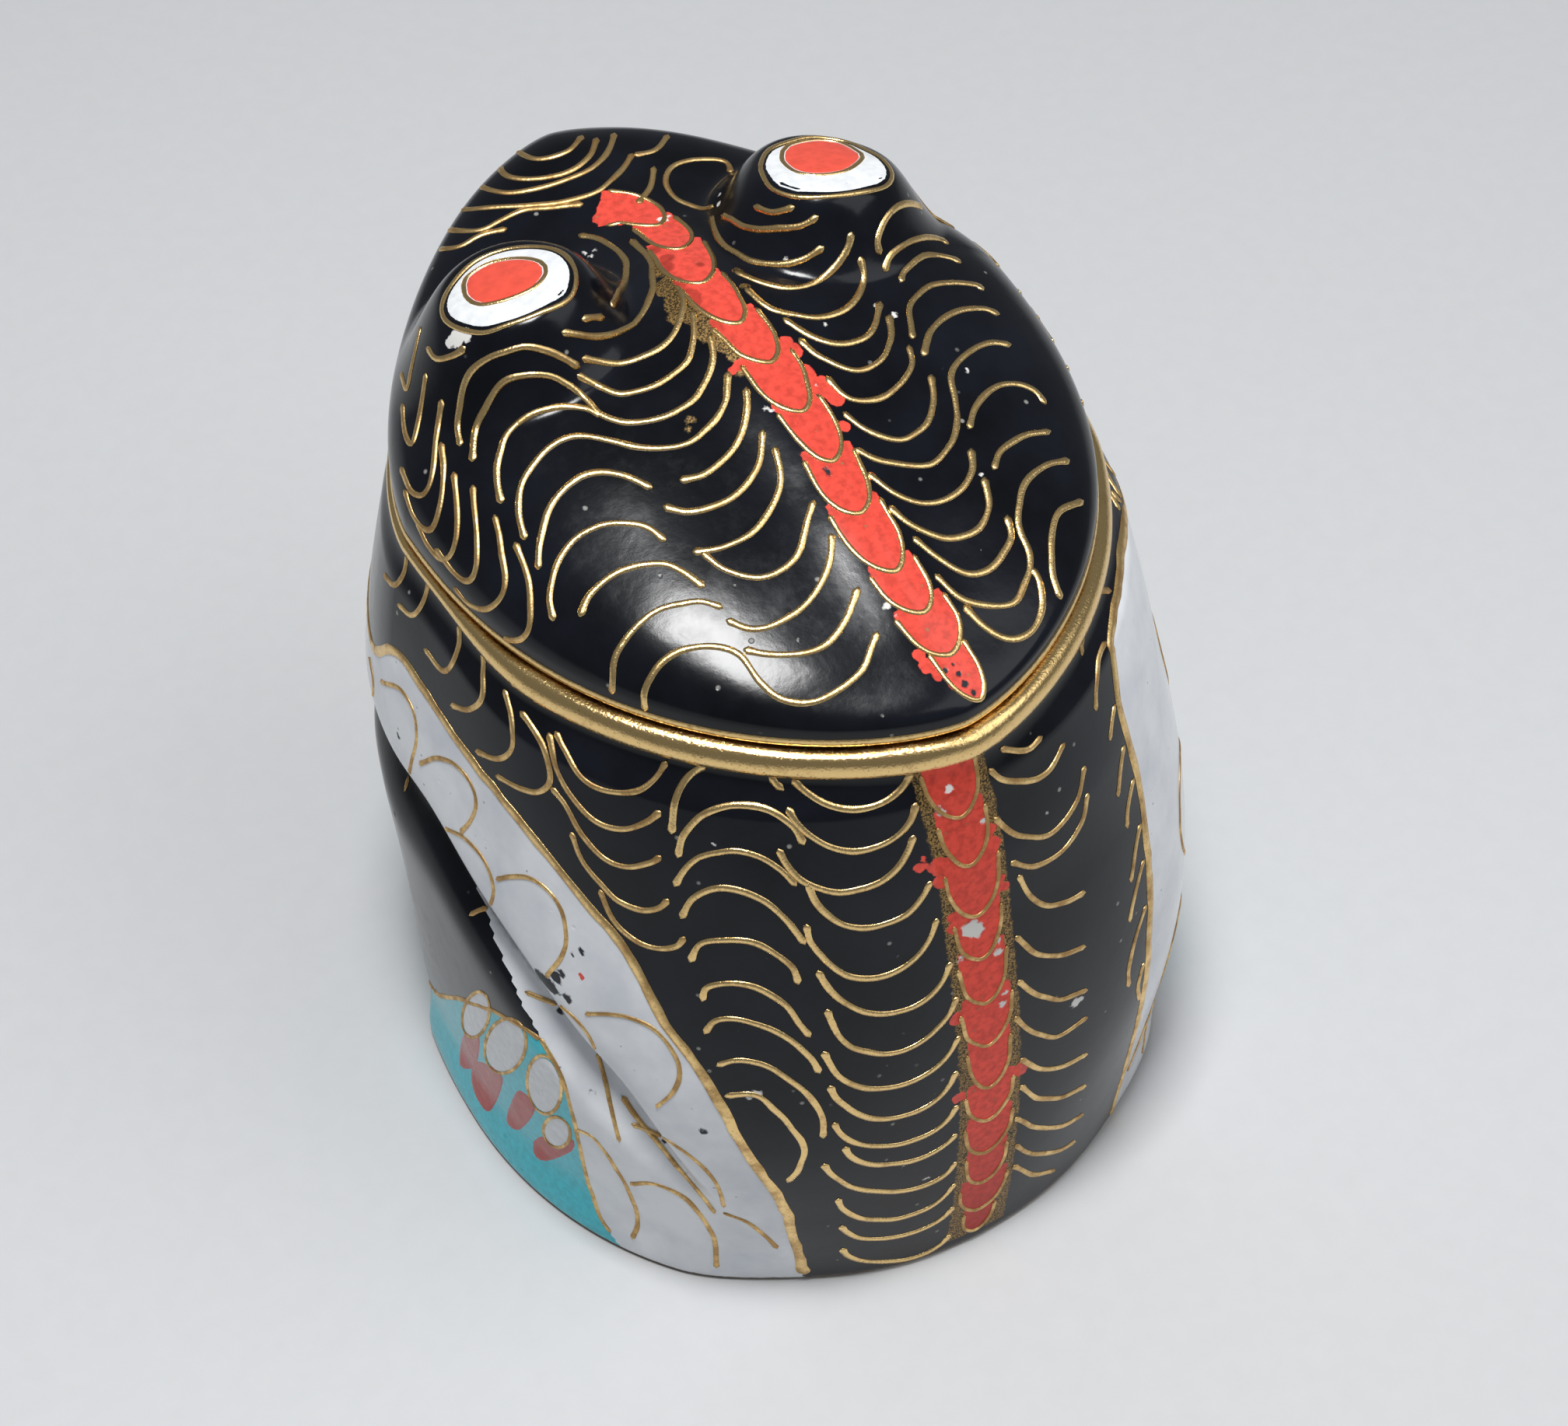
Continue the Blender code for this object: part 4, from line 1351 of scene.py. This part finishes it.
# Pieces
class FROG_OT_base(bpy.types.Operator):
    """Lay the fine enamel skin over the base"""

    bl_idname = "frog.base"
    bl_label = "Base enamel"

    def execute(self, context):
        skin = body_skin()
        top = SEAM_HEIGHT - RIM_DROP
        inner_shares = np.linspace(1, FLOOR_THICKNESS / top, INNER_ROWS)
        inner = body_rows(inner_shares, BODY_WALL)
        inner[-1, :, 2] = FLOOR_THICKNESS
        under = []
        for inset in UNDER_INSETS:
            x, y = grown(skin.rows[0, :, 0], skin.rows[0, :, 1], -inset)
            under.append(np.stack([x, y, np.zeros_like(x)], axis=-1))
        rows = np.concatenate([under, skin.rows, inner])
        piece = skin_object("base_enamel", rows)
        inside = np.zeros(rows.shape[:2])
        inside[:2] = 1
        inside[len(under) + len(skin.rows) + 1:] = 1

        def worn_gold(points):
            run, side = on_stripe(points, base_stripe())
            past_side = np.abs(side) - BASE_STRIPE_EDGE
            past_end = np.maximum(-run - 0.8 * MM, run - base_stripe().tips[-1])
            return np.minimum(points[:, 2] - FLOOR_EDGE, np.maximum(past_side, past_end)) / MM

        colour_fields(piece, np.append(inside, (1, 1)), {
            "white": white_distance,
            "turquoise": turquoise_distance,
            # Painted shade along the crease
            "grime": crease_painted_shade,
            "red": lambda points: np.minimum(
                stripe_distance(points, base_stripe()), near_spots(points, BASE_RED_SPOTS, skin)
            ),
            "gold": worn_gold,
            "chip": lambda points: near_spots(points, BASE_WHITE_SPOTS, skin),
            "dark": lambda points: near_spots(points, BASE_DARK_SPOTS, skin),
        })
        finished(piece, enamel_skin_finish())
        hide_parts("base")
        return {"FINISHED"}


class FROG_OT_lid(bpy.types.Operator):
    """Lay the fine enamel skin over the lid"""

    bl_idname = "frog.lid"
    bl_label = "Lid enamel"

    def execute(self, context):
        skin = lid_skin()
        inner_shares = np.linspace(0, 1, INNER_ROWS + 1)[1:]
        inner = lid_rows(inner_shares, LID_WALL)[::-1]
        rows = np.concatenate([skin.rows[::-1], inner])
        piece = skin_object("lid_enamel", rows)
        # The rows run from the crown to the edge and back up inside, so the faces are turned.
        piece.data.flip_normals()
        inside = np.zeros(rows.shape[:2])
        inside[len(skin.rows) + 1:] = 1
        colour_fields(piece, np.append(inside, (0, 1)), {
            "red": lambda points: np.minimum(
                stripe_distance(points, lid_stripe()), near_spots(points, LID_RED_SPOTS, skin)
            ),
            "gold": lambda points: near_spots(points, LID_GOLD_SPOTS, skin),
            "dark": lambda points: near_spots(points, LID_DARK_SPOTS, skin),
            "chip": lambda points: near_spots(points, LID_PALE_SPOTS, skin),
        })
        finished(piece, enamel_skin_finish())
        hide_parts("lid")
        return {"FINISHED"}


def rim_piece(name, profile, finish, node):
    """A closed ring whose section is a profile of (distance outwards, height) round the seam."""
    x, y = oval(turns(), SECTIONS[-1])
    rows = []
    for distance, height in profile:
        ring_x, ring_y = grown(x, y, distance)
        rows.append(placed(ring_x, ring_y, height))
    rows = np.array(rows + rows[:1])
    faces = ring_faces(len(rows), BODY_SEGMENTS) % ((len(rows) - 1) * BODY_SEGMENTS)
    mesh = bpy.data.meshes.new(name)
    mesh.from_pydata(rows[:-1].reshape(-1, 3).tolist(), [], faces.tolist())
    mesh.shade_smooth()
    mesh.set_sharp_from_angle(angle=math.radians(45))
    piece = added(name, mesh)
    finished(piece, finish)
    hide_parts(node)
    return piece


class FROG_OT_rims(bpy.types.Operator):
    """Make the gilt band of the base, with its collar, and the thin edge of the lid"""

    bl_idname = "frog.rims"
    bl_label = "Gilt rims"

    def execute(self, context):
        turn = turns()
        step, drop = rim_step(turn), rim_drop(turn)
        low = SEAM_HEIGHT - drop
        dents = DENT_DEPTH * np.sin(turn * 17 + 2 * np.sin(turn * 5)) * rearness(turn)
        lip = 0.5 * RIM_STEP_SIDE
        collar_out = LID_WALL + COLLAR_CLEARANCE
        collar_in = collar_out + COLLAR_WALL
        high = SEAM_HEIGHT + COLLAR_HEIGHT
        shoulder = high - COLLAR_ROUNDING
        foot = [(step - 0.12 * MM, low), (step - 0.03 * MM, low + 0.1 * drop)]
        # The band's face is rounded over from its foot to its lip.
        bead = []
        for angle in np.linspace(0, math.pi / 2, 7):
            rise = BEAD_START + (1 - BEAD_START) * math.sin(angle)
            height = low + rise * drop + dents * math.sin(2 * angle)
            bead.append((lip + (step - lip) * math.cos(angle), height))
        collar = [
            (-collar_out, SEAM_HEIGHT), (-collar_out, shoulder), (-collar_out - COLLAR_ROUNDING, high),
            (-collar_in + COLLAR_ROUNDING, high), (-collar_in, shoulder), (-collar_in, low),
        ]
        rim_piece("gilt_band", foot + bead + collar, gilt(*RIM_GILT), "base_rim")
        under = SEAM_HEIGHT + SEAM_GAP
        over = under + LID_RIM_HEIGHT
        profile = [
            (-0.08 * MM, under), (0, under + 0.15 * MM), (0, over - 0.12 * MM), (-0.08 * MM, over),
            (-LID_WALL, over), (-LID_WALL, under),
        ]
        rim_piece("lid_edge", profile, gilt(*RIM_GILT), "lid_rim")
        return {"FINISHED"}


def kept_where(paths, inside, margin):
    """The stretches of paths that lie in the white fields, or in the black where inside is False."""
    runs = []
    for path in paths:
        depth = signed_side(path.points, panel_border())
        wanted = depth < -margin if inside else depth > margin
        cuts = np.flatnonzero(np.diff(wanted.astype(int))) + 1
        for part, keep in zip(np.split(np.arange(len(wanted)), cuts), np.split(wanted, cuts)):
            if keep[0] and len(part) > 5:
                runs.append(Path(path.points[part], path.normals[part]))
    return runs


def waves(groups, skin):
    """Paths of pixel curves on a skin."""
    return [path for points in groups for path in seen(flowing(points, 4), skin)]


def both_sides(paths, skin, hidden_only=False):
    """The paths and their mirror images."""
    copies = (mirrored(path, skin, hidden_only) for path in paths)
    return paths + [copy for copy in copies if copy is not None]


class FROG_OT_back_wires(bpy.types.Operator):
    """Run the wave shaped wires over the black back and head"""

    bl_idname = "frog.back_wires"
    bl_label = "Back wires"

    def execute(self, context):
        sizes = context.scene.frog_wires
        # The flank wires take the darker gilt, partly painted shade.
        bright, shaded_gilt = gilt(*WIRE_GILT), gilt(*DULL_SHADED_GILT)
        lid, body = lid_skin(), body_skin()
        wire_piece("lid_wires_left", waves(LID_LEFT_WAVES, lid), sizes.width, bright, 11)
        wire_piece("lid_wires_right", waves(LID_RIGHT_WAVES, lid), sizes.width, bright, 12)
        flank = both_sides(waves(LID_LEFT_FLANK, lid), lid, hidden_only=True)
        snout = both_sides(waves(SNOUT_WIRES, lid), lid, hidden_only=True)
        wire_piece("lid_wires_flank", flank + snout, sizes.width * 0.9, shaded_gilt, 13)
        inner = waves([hanging(*scale) for scale in INNER_SCALES], body)
        middle = waves(MIDDLE_SCALES, body)
        outer = waves(OUTER_SCALES, body)
        wire_piece("base_wires_left", inner + middle, sizes.width, bright, 14)
        copies = [mirrored(path, body) for path in outer + middle]
        wire_piece("base_wires_flank", outer + kept_where(copies, False, 0.5), sizes.width * 0.9, shaded_gilt, 15)
        right = kept_where(waves(RIGHT_SCALES, body), False, 0.4)
        wire_piece("base_wires_right", right, sizes.width * 0.9, shaded_gilt, 16)
        return {"FINISHED"}


def stripe_wires(stripe, skin, arm):
    """Wires round the lower ends of a stripe's scales. Arm is how far they run on, in scale lengths."""
    wires = []
    for _, shoulder, tip, half in scales_of(stripe):
        angle = np.linspace(-0.5 * math.pi, 0.5 * math.pi, 17)
        side = half * np.sign(angle) * np.abs(np.sin(angle)) ** 1.2
        run = shoulder + (tip - shoulder) * np.cos(angle)
        back = shoulder - arm * (tip - shoulder)
        run = np.r_[back, run, back]
        side = np.r_[side[0] * 1.04, side, side[-1] * 1.04]
        index = np.searchsorted(stripe.runs, run).clip(1, len(stripe.runs) - 1)
        past = (run - stripe.runs[index])[:, None]
        points = stripe.line.points[index] + stripe.along[index] * past + stripe.side[index] * side[:, None]
        wires.append(laid(flowing(points, 0.3 * MM), skin))
    return wires


class FROG_OT_stripe_wires(bpy.types.Operator):
    """Set the scales of the red stripe"""

    bl_idname = "frog.stripe_wires"
    bl_label = "Stripe wires"

    def execute(self, context):
        sizes = context.scene.frog_wires
        lid, body = lid_skin(), body_skin()
        lid_scales = stripe_wires(lid_stripe(), lid, 0.45)
        wire_piece("lid_stripe_wires", lid_scales, STRIPE_WIRE_WIDTH, gilt(*WIRE_GILT), 21)
        scales = stripe_wires(base_stripe(), body, 0.25)
        wire_piece("base_stripe_wires", scales, sizes.thin * 0.9, gilt(*WORN_SHADED_GILT), 23)
        return {"FINISHED"}


def round_front(height, start, end, count=60):
    """Free points round the front of the body at one height, between two turns."""
    turn = np.linspace(start, end, count)
    x, y = oval(turn, section_at(np.full(count, height / SEAM_HEIGHT)))
    return placed(x, y, np.full(count, height))


def chest_scales(skin):
    """Rows of hanging scales on the chest, each set half a scale beside the one above."""
    paths = []
    angle = np.linspace(-0.95 * math.pi / 2, 0.95 * math.pi / 2, 15)
    for row, height in enumerate(CHEST_ROWS):
        for place in np.arange(-2.5, 2.6, 1.0) + 0.5 * (row % 2):
            x = place * 2 * CHEST_SCALE_HALF + CHEST_SCALE_HALF * np.sin(angle)
            y = np.full_like(x, -0.5 * LENGTH + SHIFT_Y)
            z = height - 0.8 * CHEST_SCALE_HALF * np.cos(angle)
            if np.abs(x).max() < CHEST_HALF:
                paths.append(laid(np.stack([x, y, z], axis=1), skin))
    return paths


class FROG_OT_thigh_wires(bpy.types.Operator):
    """Run the border of the thigh and the wires of the white and turquoise fields"""

    bl_idname = "frog.thigh_wires"
    bl_label = "Thigh wires"

    def execute(self, context):
        sizes = context.scene.frog_wires
        body = body_skin()
        # These low wires take the darker gilt, partly real wear and partly painted shade.
        worn = gilt(*WORN_SHADED_GILT)
        wire_piece("thigh_border", [panel_border()], sizes.border, gilt(*BORDER_GILT), 31)
        places = np.linspace(FOOT_TOP_PLACES[0], FOOT_TOP_PLACES[-1], 60) + SHIFT_Y
        foot_edge = laid(np.stack([np.full(60, HALF_WIDTH), places, foot_top(places)], axis=1), body)
        thigh = kept_where(both_sides(waves(THIGH_WIRES, body), body), True, 0.1)
        leg = both_sides(waves(LEG_WIRES + (FOOT_WIRE,), body) + [foot_edge], body)
        wire_piece("thigh_wires", thigh, sizes.thin, worn, 32)
        wire_piece("leg_wires", leg, sizes.thin * 1.15, worn, 33)
        wire_piece("chest_wires", chest_scales(body), sizes.thin, worn, 34)
        return {"FINISHED"}


class FROG_OT_eyes(bpy.types.Operator):
    """Set the eyes: white ovals, red pupils and their rings"""

    bl_idname = "frog.eyes"
    bl_label = "Eyes"

    def execute(self, context):
        colours = context.scene.frog_enamel
        sizes = context.scene.frog_wires
        lid = lid_skin()
        white = plain_enamel("eye_white", tuple(colours.white), (0.45, 0.50, 0.58))
        red = plain_enamel("eye_red", tuple(colours.eye_red), (0.35, 0.12, 0.06))
        rings = []
        for side, whites, reds in (
            ("left", LEFT_EYE_WHITE, LEFT_EYE_RED),
            ("right", RIGHT_EYE_WHITE, RIGHT_EYE_RED),
        ):
            outer = traced(whites, lid, 6, closed=True)
            inner = traced(reds, lid, 6, closed=True)
            pad(f"eye_white_{side}", outer, white, 0.02 * MM)
            pad(f"eye_pupil_{side}", inner, red, 0.035 * MM, 0.03 * MM)
            rings += [outer, inner]
        wire_piece("eye_rings", rings, sizes.thin, gilt(*WIRE_GILT), 41, closed=True)
        return {"FINISHED"}


class FROG_OT_feet(bpy.types.Operator):
    """Set the toes of the feet"""

    bl_idname = "frog.feet"
    bl_label = "Toes"

    def execute(self, context):
        colours = context.scene.frog_enamel
        sizes = context.scene.frog_wires
        body = body_skin()
        white = plain_enamel("toe_white", dimmed(colours.white, 0.9), (0.4, 0.4, 0.42))
        red = plain_enamel("toe_red", tuple(colours.toe_red), (0.25, 0.06, 0.04))
        rings = []
        for number, toe in enumerate(HIND_TOES, start=1):
            lean = math.radians(toe.lean)
            angle = np.linspace(0, 2 * math.pi, 12, endpoint=False)
            across = toe.half[0] * np.cos(angle)
            down = toe.half[1] * np.sin(angle)
            oval_pixels = np.stack([
                toe.centre[0] + across * math.cos(lean) - down * math.sin(lean),
                toe.centre[1] + across * math.sin(lean) + down * math.cos(lean),
            ], axis=1)
            nail = traced(oval_pixels, body, 5, closed=True)
            tip = traced(toe.tip, body, 5, closed=True)
            pairs = {"left": (nail, tip), "right": (mirrored(nail, body), mirrored(tip, body))}
            for side, (white_part, red_part) in pairs.items():
                pad(f"toe_tip_{side}_{number}", red_part, red, 0.015 * MM)
                pad(f"toe_{side}_{number}", white_part, white, 0.025 * MM, 0.02 * MM)
                rings.append(white_part)
        wire_piece("toe_rings", rings, sizes.thin * 0.8, gilt(*WORN_SHADED_GILT), 51, closed=True)
        return {"FINISHED"}


class FROG_OT_stage(bpy.types.Operator):
    """Set the floor, the soft lights and the camera"""

    bl_idname = "frog.stage"
    bl_label = "Stage"

    def execute(self, context):
        look = context.scene.frog_stage
        mesh = bpy.data.meshes.new("floor")
        signs = ((-1, -1), (1, -1), (1, 1), (-1, 1))
        corners = [(x * FLOOR_HALF, y * FLOOR_HALF, -FLOOR_DROP) for x, y in signs]
        mesh.from_pydata(corners, [], [(0, 1, 2, 3)])
        floor = added("floor", mesh)
        finish = Finish("pale_floor")
        weave = finish.noise(2 * MM, 3)
        shade = finish.mixed(weave, look.floor, dimmed(look.floor, 0.94))
        mesh.materials.append(finish.set(Base_Color=shade, Roughness=0.75))

        world = bpy.data.worlds.new("surround")
        world.use_nodes = True
        background = world.node_tree.nodes["Background"]
        background.inputs["Color"].default_value = (0.86, 0.90, 0.96, 1)
        background.inputs["Strength"].default_value = look.sky
        context.scene.world = world

        # The key light stands where the lid's rounded rear shoulder mirrors it to the camera.
        place, normal = touched(lid_skin().tree, HIGHLIGHT_PIXEL)
        to_eye = (Vector(viewpoint()) - place).normalized()
        away = normal * 2 * normal.dot(to_eye) - to_eye
        lamp("key_light", place + away * KEY_DISTANCE, place, KEY_SIZE, look.key_power)
        lamp("fill_light", FILL_PLACE, FILL_TARGET, FILL_SIZE, look.fill_power)

        camera = bpy.data.cameras.new("photo_camera")
        camera.sensor_width = SENSOR_WIDTH_MM
        camera.sensor_fit = "HORIZONTAL"
        camera.lens = SENSOR_WIDTH_MM * FOCAL_PIXELS / PHOTO_SIZE[0]
        camera.clip_start = 0.01
        holder = bpy.data.objects.new("photo_camera", camera)
        context.scene.collection.objects.link(holder)
        right, up, back = view_axes()
        turn = Matrix((right, up, back)).transposed().to_4x4()
        holder.matrix_world = Matrix.Translation(Vector(viewpoint())) @ turn
        context.scene.camera = holder
        context.scene.view_settings.view_transform = "Standard"
        return {"FINISHED"}


def lamp(name, place, target, size, power):
    light = bpy.data.lights.new(name, "AREA")
    light.size = size
    light.energy = power
    holder = bpy.data.objects.new(name, light)
    holder.location = place
    holder.rotation_euler = (Vector(target) - Vector(place)).to_track_quat("-Z", "Y").to_euler()
    bpy.context.scene.collection.objects.link(holder)


class FROG_PT_panel(bpy.types.Panel):
    """Steps and settings of the frog box"""

    bl_idname = "FROG_PT_panel"
    bl_label = "Frog box"
    bl_space_type = "VIEW_3D"
    bl_region_type = "UI"
    bl_category = "Frog box"

    def draw(self, context):
        for step in STEPS:
            self.layout.operator(step.bl_idname)
        for name, group in SETTINGS.items():
            for field in group.__annotations__:
                self.layout.prop(getattr(context.scene, name), field)


STEPS = (
    FROG_OT_base,
    FROG_OT_lid,
    FROG_OT_rims,
    FROG_OT_back_wires,
    FROG_OT_stripe_wires,
    FROG_OT_thigh_wires,
    FROG_OT_eyes,
    FROG_OT_feet,
    FROG_OT_stage,
)
SETTINGS = {
    "frog_enamel": EnamelColours,
    "frog_wires": WireSizes,
    "frog_gilt": GiltColours,
    "frog_stage": StageLook,
}


def register():
    for group in (*SETTINGS.values(), *STEPS, FROG_PT_panel):
        bpy.utils.register_class(group)
    for name, group in SETTINGS.items():
        setattr(bpy.types.Scene, name, bpy.props.PointerProperty(type=group))


def unregister():
    for name in SETTINGS:
        delattr(bpy.types.Scene, name)
    for group in reversed((*SETTINGS.values(), *STEPS, FROG_PT_panel)):
        bpy.utils.unregister_class(group)


def main():
    register()
    for step in STEPS:
        family, name = step.bl_idname.split(".")
        getattr(getattr(bpy.ops, family), name)()


if __name__ == "__main__":
    main()
